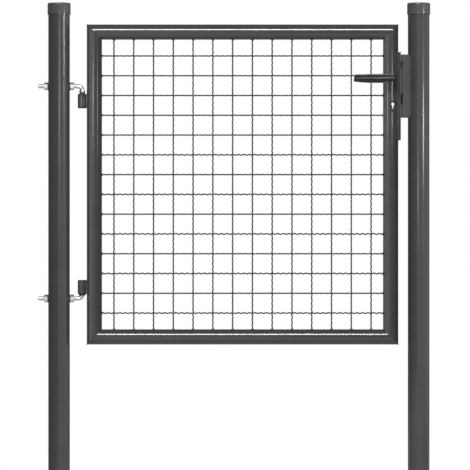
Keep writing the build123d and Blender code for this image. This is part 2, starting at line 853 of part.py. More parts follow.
# The latch spring, a short coil between the case's rear wall and the back of the latch head
with BuildPart() as latch_spring:
    spring_z = latch_z + latch_head_height / 2 - latch_spring_diameter / 2
    spring_length = latch_back_x - inner_rear_x - latch_spring_wire
    spring_start = inner_rear_x + latch_spring_wire / 2
    coil_radius = (latch_spring_diameter - latch_spring_wire) / 2
    with BuildLine() as coil:
        Helix(
            pitch=spring_length / latch_spring_turns,
            height=spring_length,
            radius=coil_radius,
            center=(spring_start, 0, spring_z),
            direction=(1, 0, 0),
        )
    with BuildSketch(Plane(origin=coil.line @ 0, z_dir=coil.line % 0)):
        Circle(latch_spring_wire / 2)
    sweep(path=coil.line, is_frenet=True)
save(latch_spring, "latch_spring")

# Dead bolt: a square head just proud of the forend, a guide block that passes over the key
# insert, and a slotted tail that runs on the case's stud
dead_front_x = forend_x + dead_bolt_proud
dead_head_x = dead_front_x - dead_bolt_head_length
dead_guide_x = dead_head_x - dead_bolt_guide_length
dead_tail_x = inner_rear_x + dead_bolt_rear_gap
dead_top_z = dead_bolt_z + dead_bolt_height / 2
dead_guide_low_z = keyhole_z + insert_round / 2 + dead_bolt_insert_gap
slot_diameter = stud_diameter + 2 * running_clearance

with BuildPart() as dead_bolt:
    with BuildSketch(plane_y(dead_bolt_thickness / 2)):
        with Locations((dead_front_x - dead_bolt_head_length / 2, dead_bolt_z)):
            Rectangle(dead_bolt_head_length, dead_bolt_height)
        with Locations((dead_head_x - dead_bolt_guide_length / 2, (dead_guide_low_z + dead_top_z) / 2)):
            Rectangle(dead_bolt_guide_length, dead_top_z - dead_guide_low_z)
    extrude(amount=dead_bolt_thickness)
    with BuildSketch(plane_y(strip_thickness / 2)):
        with Locations(((dead_tail_x + dead_guide_x) / 2, stud_z)):
            Rectangle(dead_guide_x - dead_tail_x, 3 * stud_diameter)
        with Locations((stud_x - dead_bolt_travel / 2, stud_z)):
            SlotCenterToCenter(
                dead_bolt_travel + 2 * running_clearance,
                slot_diameter,
                mode=Mode.SUBTRACT,
            )
    extrude(amount=strip_thickness)
save(dead_bolt, "dead_bolt")
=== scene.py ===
import json
import logging
import math
from collections.abc import Callable, Sequence
from dataclasses import dataclass
from enum import Enum

import bmesh
import bpy
from mathutils import Matrix, Vector, noise


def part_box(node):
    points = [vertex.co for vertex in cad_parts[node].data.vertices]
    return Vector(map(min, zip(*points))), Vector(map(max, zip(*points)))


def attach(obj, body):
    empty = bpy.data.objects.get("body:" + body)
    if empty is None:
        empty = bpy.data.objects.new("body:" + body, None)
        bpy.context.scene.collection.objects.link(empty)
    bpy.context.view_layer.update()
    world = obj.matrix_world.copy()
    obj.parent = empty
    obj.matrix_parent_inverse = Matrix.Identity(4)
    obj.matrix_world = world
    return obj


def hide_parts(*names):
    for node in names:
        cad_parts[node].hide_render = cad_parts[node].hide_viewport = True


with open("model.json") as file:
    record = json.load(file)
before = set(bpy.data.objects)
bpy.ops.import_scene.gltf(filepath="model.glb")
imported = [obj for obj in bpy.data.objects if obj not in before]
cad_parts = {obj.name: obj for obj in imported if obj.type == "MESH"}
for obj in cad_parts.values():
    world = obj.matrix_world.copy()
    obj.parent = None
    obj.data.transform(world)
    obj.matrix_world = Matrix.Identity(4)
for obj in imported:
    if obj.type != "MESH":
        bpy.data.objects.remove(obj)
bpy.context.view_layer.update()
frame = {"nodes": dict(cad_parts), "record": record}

# The looks of a single-leaf garden gate on its two posts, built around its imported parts. Metres,
# +X from the hinge post to the latch post, +Z up, -Y towards the side of the front lever.

log = logging.getLogger("gate")

Corner = tuple[float, float, float]
Colour = tuple[float, float, float, float]

MM = 0.001
TURN = 2 * math.pi


class Body(Enum):
    """The bodies that pieces ride on."""

    POSTS = "posts"
    LEAF = "leaf"
    HANDLE = "handle"
    LATCH = "latch"
    DEAD_BOLT = "dead_bolt"


class Slot(Enum):
    """The record's material slots."""

    POWDER_COAT = "powder_coat"
    CAP_PLASTIC = "cap_plastic"
    ZINC_PLATE = "zinc_plate"
    BLACK_NYLON = "black_nylon"
    LEVER_PLASTIC = "lever_plastic"
    BLACKENED_STEEL = "blackened_steel"
    SPRING_STEEL = "spring_steel"


class Facing(Enum):
    """How a drawing's own u, v and depth lie in the gate: u across, v up, depth towards w."""

    PLAN = ((1, 0, 0), (0, 1, 0), (0, 0, 1))
    FRONT = ((1, 0, 0), (0, 0, -1), (0, 1, 0))
    SIDE = ((0, 0, 1), (1, 0, 0), (0, 1, 0))

    @property
    def matrix(self) -> Matrix:
        """The rotation from a drawing's axes to the gate's."""
        return Matrix(self.value).to_4x4()


# Shader maths


class Signal:
    """A number or colour that varies over a surface, with Python's arithmetic on numbers."""

    def __init__(self, recipe: "Recipe", socket: bpy.types.NodeSocket) -> None:
        """Wraps an output socket of a recipe's node tree."""
        self.recipe = recipe
        self.socket = socket

    def _math(self, operation: str, first: "Signal | float", second: "Signal | float") -> "Signal":
        """Adds a Math node of two operands."""
        return self.recipe.node("ShaderNodeMath", {"operation": operation}, {0: first, 1: second})

    def __add__(self, other: "Signal | float") -> "Signal":
        """Adds a number or another signal."""
        return self._math("ADD", self, other)

    def __radd__(self, other: float) -> "Signal":
        """Adds this signal to a number."""
        return self._math("ADD", other, self)

    def __sub__(self, other: "Signal | float") -> "Signal":
        """Subtracts a number or another signal."""
        return self._math("SUBTRACT", self, other)

    def __rsub__(self, other: float) -> "Signal":
        """Subtracts this signal from a number."""
        return self._math("SUBTRACT", other, self)

    def __mul__(self, other: "Signal | float") -> "Signal":
        """Multiplies by a number or another signal."""
        return self._math("MULTIPLY", self, other)

    def __rmul__(self, other: float) -> "Signal":
        """Multiplies a number by this signal."""
        return self._math("MULTIPLY", other, self)

    def above(self, low: float, high: float) -> "Signal":
        """Stretches the part between low and high to run from 0 to 1, clamped."""
        values = {"Value": self, "From Min": low, "From Max": high}
        return self.recipe.node("ShaderNodeMapRange", {"clamp": True}, values)


class Recipe:
    """The node tree of one material while it is being written."""

    def __init__(self, name: str) -> None:
        """Starts a material with an empty Principled shader.

        Args:
            name: The material's name.
        """
        self.material = bpy.data.materials.new(name)
        self.material.use_nodes = True
        self.tree = self.material.node_tree
        self.shader = self.tree.nodes["Principled BSDF"]
        self.place = self.node("ShaderNodeTexCoord", {}, {}, "Object")

    def node(
        self,
        kind: str,
        settings: dict[str, object],
        values: dict[str | int, "Signal | float | Sequence[float]"],
        output: str | int = 0,
    ) -> Signal:
        """Adds a node of any kind.

        Args:
            kind: The node's type.
            settings: Attributes, set first.
            values: A constant or a signal for each named or numbered input.
            output: Which output to return.

        Returns:
            The chosen output as a signal.
        """
        node = self.tree.nodes.new(kind)
        for name, value in settings.items():
            setattr(node, name, value)
        for key, value in values.items():
            self.feed(node.inputs[key], value)
        return Signal(self, node.outputs[output])

    def feed(self, socket: bpy.types.NodeSocket, value: "Signal | float | Sequence[float]") -> None:
        """Links a signal to a socket, or sets its constant.

        Args:
            socket: The input to feed.
            value: The signal or the constant.
        """
        if isinstance(value, Signal):
            self.tree.links.new(value.socket, socket)
        else:
            socket.default_value = value

    def shade(self, **values: "Signal | float | Sequence[float]") -> None:
        """Feeds the Principled shader; base_color stands for its socket Base Color."""
        for name, value in values.items():
            self.feed(self.shader.inputs[name.replace("_", " ").title()], value)

    def grain(self, size: float, detail: float = 2.0, stretch: Sequence[float] = (1, 1, 1)) -> Signal:
        """Noise with grains of about the given size in metres.

        Args:
            size: The grain's size.
            detail: How many finer layers are added.
            stretch: How much finer the grain is along each axis.

        Returns:
            The noise, from 0 to 1.
        """
        scaled = self.node("ShaderNodeVectorMath", {"operation": "MULTIPLY"}, {0: self.place, 1: stretch})
        return self.node("ShaderNodeTexNoise", {}, {"Vector": scaled, "Scale": 1 / size, "Detail": detail})

    def mix(self, factor: Signal, first: "Signal | Colour", second: "Signal | Colour") -> Signal:
        """Mixes two colours by a factor."""
        return self.node("ShaderNodeMix", {"data_type": "RGBA"}, {0: factor, 6: first, 7: second}, 2)

    def bump(self, height: Signal, distance: float, strength: float = 1.0) -> Signal:
        """Turns a height signal into a normal; distance is the height of 1 in metres."""
        values = {"Strength": strength, "Distance": distance, "Height": height}
        return self.node("ShaderNodeBump", {}, values, "Normal")


# Finishes


@dataclass(frozen=True)
class PowderCoat:
    """Semi-gloss anthracite powder coat with a fine orange peel and a trace of dust."""

    name: str = "anthracite powder coat"
    colour: Colour = (0.033, 0.033, 0.034, 1)
    dusty: Colour = (0.042, 0.042, 0.043, 1)
    peel_size: float = 1.1 * MM
    peel_height: float = 0.006 * MM
    swell_size: float = 7 * MM
    speckle_size: float = 0.45 * MM
    cloud_size: float = 60 * MM
    roughness: float = 0.15
    spread: float = 0.07
    refraction: float = 1.52

    def build(self) -> bpy.types.Material:
        """Writes the material."""
        recipe = Recipe(self.name)
        clouds = recipe.grain(self.cloud_size, 4.0)
        speckle = recipe.grain(self.speckle_size, 1.0).above(0.62, 0.80)
        dust = clouds.above(0.35, 0.75) * 0.7 + speckle * 0.25
        peel = recipe.grain(self.peel_size, 1.5) + recipe.grain(self.swell_size, 1.0) * 0.15
        recipe.shade(
            base_color=recipe.mix(dust, self.colour, self.dusty),
            roughness=clouds * self.spread + self.roughness,
            normal=recipe.bump(peel, self.peel_height),
        )
        recipe.shader.inputs["IOR"].default_value = self.refraction
        return recipe.material


@dataclass(frozen=True)
class MouldedPlastic:
    """Injection-moulded plastic with a spark-eroded grain, rubbed a little smoother in places."""

    name: str
    colour: Colour
    worn: Colour
    grain_size: float
    grain_height: float
    roughness: float
    spread: float
    patch_size: float = 18 * MM
    flow_size: float = 9 * MM

    def build(self) -> bpy.types.Material:
        """Writes the material."""
        recipe = Recipe(self.name)
        patches = recipe.grain(self.patch_size, 3.0)
        eroded = recipe.grain(self.grain_size, 2.0)
        flow = recipe.grain(self.flow_size, 2.0, (1, 1, 0.25))
        recipe.shade(
            base_color=recipe.mix(patches.above(0.4, 0.8), self.colour, self.worn),
            roughness=self.roughness + (patches - 0.5) * self.spread + (flow - 0.5) * self.spread,
            normal=recipe.bump(eroded, self.grain_height),
        )
        return recipe.material


@dataclass(frozen=True)
class PlatedSteel:
    """Zinc-plated or blackened steel: metal with fine drawing marks and uneven plating."""

    name: str
    colour: Colour
    cloudy: Colour
    metallic: float
    roughness: float
    spread: float
    cloud_size: float = 5 * MM
    spangle_size: float = 1.6 * MM
    mark_size: float = 0.35 * MM
    mark_height: float = 0.004 * MM

    def build(self) -> bpy.types.Material:
        """Writes the material."""
        recipe = Recipe(self.name)
        clouds = recipe.grain(self.cloud_size, 4.0)
        cells = {"Vector": recipe.place, "Scale": 1 / self.spangle_size}
        spangle = recipe.node("ShaderNodeTexVoronoi", {"feature": "F1"}, cells)
        marks = recipe.grain(self.mark_size, 2.0, (0.2, 1, 1))
        recipe.shade(
            base_color=recipe.mix(clouds.above(0.35, 0.7), self.colour, self.cloudy),
            metallic=self.metallic,
            roughness=self.roughness + clouds * self.spread + spangle * 0.05,
            normal=recipe.bump(marks, self.mark_height),
        )
        return recipe.material


@dataclass(frozen=True)
class StudioFloor:
    """A pale matt floor with a trace of unevenness."""

    name: str = "pale studio floor"
    light: Colour = (0.90, 0.90, 0.90, 1)
    dark: Colour = (0.86, 0.86, 0.86, 1)
    patch_size: float = 0.4
    scuff_size: float = 0.1
    roughness: float = 0.7
    spread: float = 0.2

    def build(self) -> bpy.types.Material:
        """Writes the material."""
        recipe = Recipe(self.name)
        recipe.shade(
            base_color=recipe.mix(recipe.grain(self.patch_size, 3.0), self.light, self.dark),
            roughness=self.roughness + recipe.grain(self.scuff_size, 2.0) * self.spread,
        )
        return recipe.material


class Palette:
    """Every finish of the gate, one to a material slot."""

    def __init__(self) -> None:
        """Writes each slot's material once."""
        finishes = {
            Slot.POWDER_COAT: PowderCoat(),
            Slot.CAP_PLASTIC: MouldedPlastic(
                name="anthracite cap plastic",
                colour=(0.050, 0.051, 0.053, 1),
                worn=(0.062, 0.063, 0.065, 1),
                grain_size=0.6 * MM,
                grain_height=0.003 * MM,
                roughness=0.16,
                spread=0.06,
            ),
            Slot.ZINC_PLATE: PlatedSteel(
                name="bright zinc plate",
                colour=(0.78, 0.79, 0.80, 1),
                cloudy=(0.62, 0.63, 0.65, 1),
                metallic=1.0,
                roughness=0.18,
                spread=0.22,
            ),
            Slot.BLACK_NYLON: MouldedPlastic(
                name="black nylon",
                colour=(0.010, 0.010, 0.011, 1),
                worn=(0.016, 0.016, 0.017, 1),
                grain_size=0.4 * MM,
                grain_height=0.010 * MM,
                roughness=0.42,
                spread=0.12,
            ),
            Slot.LEVER_PLASTIC: MouldedPlastic(
                name="satin black lever plastic",
                colour=(0.007, 0.007, 0.007, 1),
                worn=(0.011, 0.011, 0.011, 1),
                grain_size=0.5 * MM,
                grain_height=0.003 * MM,
                roughness=0.20,
                spread=0.08,
            ),
            Slot.BLACKENED_STEEL: PlatedSteel(
                name="blackened steel",
                colour=(0.045, 0.045, 0.048, 1),
                cloudy=(0.09, 0.088, 0.085, 1),
                metallic=0.85,
                roughness=0.30,
                spread=0.25,
            ),
            Slot.SPRING_STEEL: PlatedSteel(
                name="oiled spring steel",
                colour=(0.30, 0.30, 0.31, 1),
                cloudy=(0.20, 0.20, 0.21, 1),
                metallic=1.0,
                roughness=0.25,
                spread=0.20,
            ),
        }
        self.materials = {slot: finish.build() for slot, finish in finishes.items()}

    def dress_frame(self) -> None:
        """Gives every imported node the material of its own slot."""
        for part in frame["record"]["subparts"]:
            mesh = frame["nodes"][part["node"]].data
            mesh.materials.clear()
            mesh.materials.append(self.materials[Slot(part["material_slot"])])


# Meshes


def rounded(corners: Sequence[Corner], steps: int = 5) -> list[tuple[float, float]]:
    """Rounds the corners of a closed outline.

    Args:
        corners: Each corner's u and v and the radius of its arc, 0 for a sharp one.
        steps: The number of pieces that each arc has.

    Returns:
        The outline's points, in the corners' order.
    """
    points: list[tuple[float, float]] = []
    for index, (u, v, radius) in enumerate(corners):
        here = Vector((u, v))
        if radius == 0:
            points.append((u, v))
            continue
        before = (Vector(corners[index - 1][:2]) - here).normalized()
        after = (Vector(corners[(index + 1) % len(corners)][:2]) - here).normalized()
        half = before.angle(after) / 2
        centre = here + (before + after).normalized() * (radius / math.sin(half))
        first = here + before * (radius / math.tan(half)) - centre
        turn = first.angle_signed(here + after * (radius / math.tan(half)) - centre)
        for step in range(steps + 1):
            spoke = first.copy()
            spoke.rotate(Matrix.Rotation(-turn * step / steps, 2))
            points.append(tuple(centre + spoke))
    return points


def slab(low_u: float, high_u: float, low_v: float, high_v: float, radius: float = 0) -> list[Corner]:
    """The four corners of a rectangle, all of one radius.

    Args:
        low_u: The left edge.
        high_u: The right edge.
        low_v: The lower edge.
        high_v: The upper edge.
        radius: The radius of each corner.

    Returns:
        The corners, counter-clockwise from the lower left one.
    """
    return [
        (low_u, low_v, radius),
        (high_u, low_v, radius),
        (high_u, high_v, radius),
        (low_u, high_v, radius),
    ]


class Form:
    """A mesh while it is being made."""

    def __init__(self) -> None:
        """Starts with nothing."""
        self.mesh = bmesh.new()

    def skin(self, rings: Sequence[Sequence[Vector]], closed: bool = False) -> None:
        """Joins rings of points with quads.

        Args:
            rings: Rings of equally many points.
            closed: Whether the last ring joins the first; otherwise each end gets a lid.
        """
        made = [[self.mesh.verts.new(point) for point in ring] for ring in rings]
        pairs = list(zip(made, made[1:]))
        if closed:
            pairs.append((made[-1], made[0]))
        count = len(made[0])
        for near, far in pairs:
            for index in range(count):
                after = (index + 1) % count
                self.mesh.faces.new((near[index], near[after], far[after], far[index]))
        if not closed:
            self.mesh.faces.new(list(reversed(made[0])))
            self.mesh.faces.new(made[-1])

    def lathe(
        self,
        profile: Sequence[tuple[float, float]],
        centre: Sequence[float],
        facing: Facing = Facing.PLAN,
        steps: int = 48,
        closed: bool = True,
    ) -> None:
        """Turns a profile around an axis.

        Args:
            profile: Pairs of radius and height along the axis.
            centre: The point of the axis at height 0.
            facing: Where the axis points: up, to the front or to the latch post.
            steps: The number of pieces in a turn.
            closed: Whether the profile closes on itself around a bore.
        """
        place = Matrix.Translation(Vector(centre)) @ facing.matrix
        rings = []
        for radius, height in profile:
            ring = []
            for step in range(steps):
                angle = TURN * step / steps
                ring.append(place @ Vector((radius * math.cos(angle), radius * math.sin(angle), height)))
            rings.append(ring)
        self.skin(rings, closed)

    def sweep(
        self,
        path: Sequence[Vector],
        radius: Callable[[float, float], float],
        across: Vector,
        steps: int = 12,
        closed: bool = False,
    ) -> None:
        """Draws a round section along a path.

        Args:
            path: The points of the path.
            radius: The section's radius at a distance along the path and an angle.
            across: A direction that the path never runs along.
            steps: The number of pieces around the section.
            closed: Whether the path is a loop.
        """
        rings = []
        distance = 0.0
        for index, point in enumerate(path):
            if closed:
                run = path[(index + 1) % len(path)] - path[index - 1]
            else:
                run = path[min(index + 1, len(path) - 1)] - path[max(index - 1, 0)]
            distance += (point - path[index - 1]).length if index else 0
            run.normalize()
            first = (across - run * across.dot(run)).normalized()
            second = run.cross(first)
            ring = []
            for step in range(steps):
                angle = TURN * step / steps
                reach = radius(distance, angle)
                ring.append(point + first * (reach * math.cos(angle)) + second * (reach * math.sin(angle)))
            rings.append(ring)
        self.skin(rings, closed)

    def prism(
        self,
        outline: Sequence[tuple[float, float]],
        low: float,
        high: float,
        facing: Facing = Facing.PLAN,
    ) -> None:
        """Extrudes an outline.

        Args:
            outline: The outline's points, in the drawing's own u and v.
            low: The depth that it starts at.
            high: The depth that it ends at.
            facing: How the drawing lies in the gate.
        """
        place = facing.matrix
        self.skin([[place @ Vector((u, v, depth)) for u, v in outline] for depth in (low, high)])

    def to_mesh(self, name: str, sharp: float = 35.0) -> bpy.types.Mesh:
        """Writes the mesh out, smooth but for its sharp edges.

        Args:
            name: The mesh's name.
            sharp: Edges sharper than this angle in degrees stay sharp.

        Returns:
            The mesh; the form can't be used again.
        """
        bmesh.ops.recalc_face_normals(self.mesh, faces=self.mesh.faces)
        mesh = bpy.data.meshes.new(name)
        self.mesh.to_mesh(mesh)
        self.mesh.free()
        mesh.shade_smooth()
        mesh.set_sharp_from_angle(angle=math.radians(sharp))
        return mesh


class Join(Enum):
    """How one form is worked into another."""

    CUT = "DIFFERENCE"
    ADD = "UNION"


def worked(mesh: bpy.types.Mesh, steps: Sequence[tuple[Join, Form]], sharp: float = 35.0) -> bpy.types.Mesh:
    """Cuts forms out of a mesh or joins them to it.

    Args:
        mesh: The mesh to work on.
        steps: What is done, in order.
        sharp: Edges sharper than this angle in degrees stay sharp.

    Returns:
        The finished mesh, which takes the place of the one given.
    """
    base = bpy.data.objects.new("work", mesh)
    bpy.context.scene.collection.objects.link(base)
    tools = []
    for join, form in steps:
        tool = bpy.data.objects.new("tool", form.to_mesh("tool"))
        bpy.context.scene.collection.objects.link(tool)
        tools.append(tool)
        cut = base.modifiers.new("cut", "BOOLEAN")
        cut.operation = join.value
        cut.solver = "EXACT"
        cut.object = tool
    graph = bpy.context.evaluated_depsgraph_get()
    made = bpy.data.meshes.new_from_object(base.evaluated_get(graph))
    made.name = mesh.name
    for item in [base, *tools]:
        old = item.data
        bpy.data.objects.remove(item)
        bpy.data.meshes.remove(old)
    made.shade_smooth()
    made.set_sharp_from_angle(angle=math.radians(sharp))
    return made


def true_tube_normals(
    mesh: bpy.types.Mesh,
    centre: Vector,
    radii: Sequence[float],
    tolerance: float = 0.03 * MM,
) -> None:
    """Gives a cut tube the exact normals of its round walls, so that cuts leave no shading marks.

    Args:
        mesh: The tube, which stands upright.
        centre: A point on its axis.
        radii: The outer and inner radius.
        tolerance: How far a corner may lie from a wall and still count as on it.
    """
    normals = []
    for face in mesh.polygons:
        for index in face.vertices:
            spoke = mesh.vertices[index].co - centre
            spoke.z = 0
            on_wall = any(abs(spoke.length - radius) < tolerance for radius in radii)
            outward = spoke.normalized()
            facing = outward.dot(face.normal)
            if on_wall and abs(facing) > 0.9:
                normals.append(outward * math.copysign(1, facing))
            else:
                normals.append(face.normal)
    mesh.normals_split_custom_set(normals)


def bead(
    path: Sequence[Vector],
    size: float,
    across: Vector,
    closed: bool = False,
    ripple: float = 2.6 * MM,
) -> Form:
    """A weld bead along a path.

    Args:
        path: The points of the path, about 1 mm apart.
        size: The bead's radius.
        across: A direction that the path never runs along.
        closed: Whether the path is a loop.
        ripple: The distance from one ripple to the next.

    Returns:
        The bead's form.
    """

    def radius(distance: float, angle: float) -> float:
        """A rippled radius that wanders a little.

        Args:
            distance: The distance along the path.
            angle: The angle around the section.

        Returns:
            The radius there.
        """
        wave = 0.08 * math.sin(TURN * distance / ripple)
        wander = 0.10 * noise.noise(Vector((distance / (6 * MM), math.cos(angle), math.sin(angle))))
        return size * (1 + wave + wander)

    form = Form()
    form.sweep(path, radius, across, 10, closed)
    return form


def line(start: Sequence[float], end: Sequence[float], step: float) -> list[Vector]:
    """Divides a straight line evenly.

    Args:
        start: The first point.
        end: The last point.
        step: The points are no further apart than this.

    Returns:
        The points, with both ends.
    """
    first, last = Vector(start), Vector(end)
    count = max(1, math.ceil((last - first).length / step))
    return [first.lerp(last, index / count) for index in range(count + 1)]


@dataclass(frozen=True)
class Span:
    """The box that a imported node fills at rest."""

    low: Vector
    high: Vector

    @classmethod
    def of(cls, node: str) -> "Span":
        """Reads a node's box."""
        return cls(*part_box(node))

    @property
    def centre(self) -> Vector:
        """The box's middle."""
        return (self.low + self.high) / 2

    @property
    def size(self) -> Vector:
        """The box's length along each axis."""
        return self.high - self.low


class LightGroup(Enum):
    """The pieces that share lamps of their own."""

    POSTS = "lit as posts"
    LEAF = "lit as leaf"

    @property
    def pieces(self) -> bpy.types.Collection:
        """The collection that the group's lamps shine on."""
        return bpy.data.collections.get(self.value) or bpy.data.collections.new(self.value)


class SubAssembly:
    """What every sub-assembly shares: its finishes and the way its pieces join the scene."""

    palette: Palette

    def add(self, mesh: bpy.types.Mesh, body: Body, slot: Slot, *nodes: str) -> bpy.types.Object:
        """Puts a piece into the scene.

        Args:
            mesh: The piece's mesh, whose name becomes the piece's.
            body: What it moves with.
            slot: The material slot that it takes its finish from.
            nodes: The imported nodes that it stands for.

        Returns:
            The new object.
        """
        piece = bpy.data.objects.new(mesh.name, mesh)
        bpy.context.scene.collection.objects.link(piece)
        group = LightGroup.POSTS if body is Body.POSTS else LightGroup.LEAF
        group.pieces.objects.link(piece)
        mesh.materials.clear()
        mesh.materials.append(self.palette.materials[slot])
        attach(piece, body.value)
        if nodes:
            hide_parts(*nodes)
        log.info("%s: %d faces", mesh.name, len(mesh.polygons))
        return piece

    def soften(self, piece: bpy.types.Object, width: float, segments: int = 2) -> None:
        """Rounds a piece's sharp edges.

        Args:
            piece: The piece.
            width: The width of the rounding.
            segments: The number of faces across it.
        """
        bevel = piece.modifiers.new("rounded edges", "BEVEL")
        bevel.width = width
        bevel.segments = segments
        bevel.limit_method = "ANGLE"
        bevel.angle_limit = math.radians(40)
        bevel.harden_normals = True

    def refined(self, node: str, body: Body, slot: Slot, edge: float) -> None:
        """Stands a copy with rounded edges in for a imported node.

        Args:
            node: The node.
            body: What it moves with.
            slot: Its material slot.
            edge: The width of the rounding.
        """
        form = Form()
        form.mesh.from_mesh(frame["nodes"][node].data)
        bmesh.ops.remove_doubles(form.mesh, verts=form.mesh.verts, dist=0.001 * MM)
        flat = math.radians(0.5)
        bmesh.ops.dissolve_limit(form.mesh, angle_limit=flat, verts=form.mesh.verts, edges=form.mesh.edges)
        piece = self.add(form.to_mesh(node + "_finished"), body, slot, node)
        self.soften(piece, edge)


# Posts


@dataclass
class Posts(SubAssembly):
    """The two round posts with their push-on caps."""

    palette: Palette
    wall: float = 1.5 * MM
    end_edge: float = 0.4 * MM
    hole_radius: float = 6.25 * MM
    cap_clearance: float = 0.05 * MM
    cap_roof: float = 3.0 * MM
    cap_lip: float = 3.0 * MM
    cap_wall: float = 2.0 * MM
    cap_roof_edge: float = 4.0 * MM
    dish_rim: float = 0.62
    dish_foot: float = 0.58
    dish_depth: float = 0.5 * MM
    dish_edge: float = 0.8 * MM
    vent_radius: float = 0.2 * MM
    steps: int = 128

    def tube(self, node: str, drilled_at: Sequence[float]) -> None:
        """Makes a post's tube.

        Args:
            node: The post.
            drilled_at: The heights at which it is drilled through along X.
        """
        span = Span.of(node)
        radius = span.size.x / 2
        bore = radius - self.wall
        profile = rounded(
            [
                (bore, 0, 0),
                (radius, 0, self.end_edge),
                (radius, span.size.z, self.end_edge),
                (bore, span.size.z, 0),
            ],
            3,
        )
        form = Form()
        form.lathe(profile, (span.centre.x, 0, span.low.z), steps=self.steps)
        mesh = form.to_mesh(node + "_tube")
        if drilled_at:
            drills = Form()
            for height in drilled_at:
                disc = [(self.hole_radius, -2 * radius), (self.hole_radius, 2 * radius)]
                drills.lathe(disc, (span.centre.x, 0, height), Facing.SIDE, 64, closed=False)
            mesh = worked(mesh, [(Join.CUT, drills)])
            true_tube_normals(mesh, Vector((span.centre.x, 0, 0)), (radius, bore))
        self.add(mesh, Body.POSTS, Slot.POWDER_COAT, node)

    def cap(self, node: str, post: str) -> None:
        """Makes a push-on cap with a lip at its rim, a rounded roof edge and a shallow roof dish.

        Args:
            node: The cap.
            post: The post that it sits on.
        """
        span = Span.of(node)
        bore = Span.of(post).size.x / 2 + self.cap_clearance
        outside = bore + self.cap_wall
        rim = span.size.x / 2
        top = span.size.z
        dish = top - self.dish_depth
        profile = rounded(
            [
                (bore, 0, 0.3 * MM),
                (rim, 0, 0.25 * MM),
                (rim, self.cap_lip, 0.2 * MM),
                (outside, self.cap_lip + 0.3 * MM, 0.2 * MM),
                (outside, top, self.cap_roof_edge),
                (outside * self.dish_rim, top, self.dish_edge),
                (outside * self.dish_foot, dish, self.dish_edge),
                (self.vent_radius, dish, 0),
                (self.vent_radius, top - self.cap_roof, 0),
                (bore, top - self.cap_roof, 0.2 * MM),
            ],
        )
        form = Form()
        form.lathe(profile, (span.centre.x, 0, span.low.z), steps=self.steps)
        self.add(form.to_mesh(node + "_moulding"), Body.POSTS, Slot.CAP_PLASTIC, node)

    def build(self) -> None:
        """Makes both posts and both caps."""
        nuts = Span.of("hinge_nuts")
        half_nut = Hinges.nut_flats / math.sqrt(3)
        self.tube("hinge_post", [nuts.low.z + half_nut, nuts.high.z - half_nut])
        self.tube("latch_post", [])
        self.cap("hinge_post_cap", "hinge_post")
        self.cap("latch_post_cap", "latch_post")


# Hinges


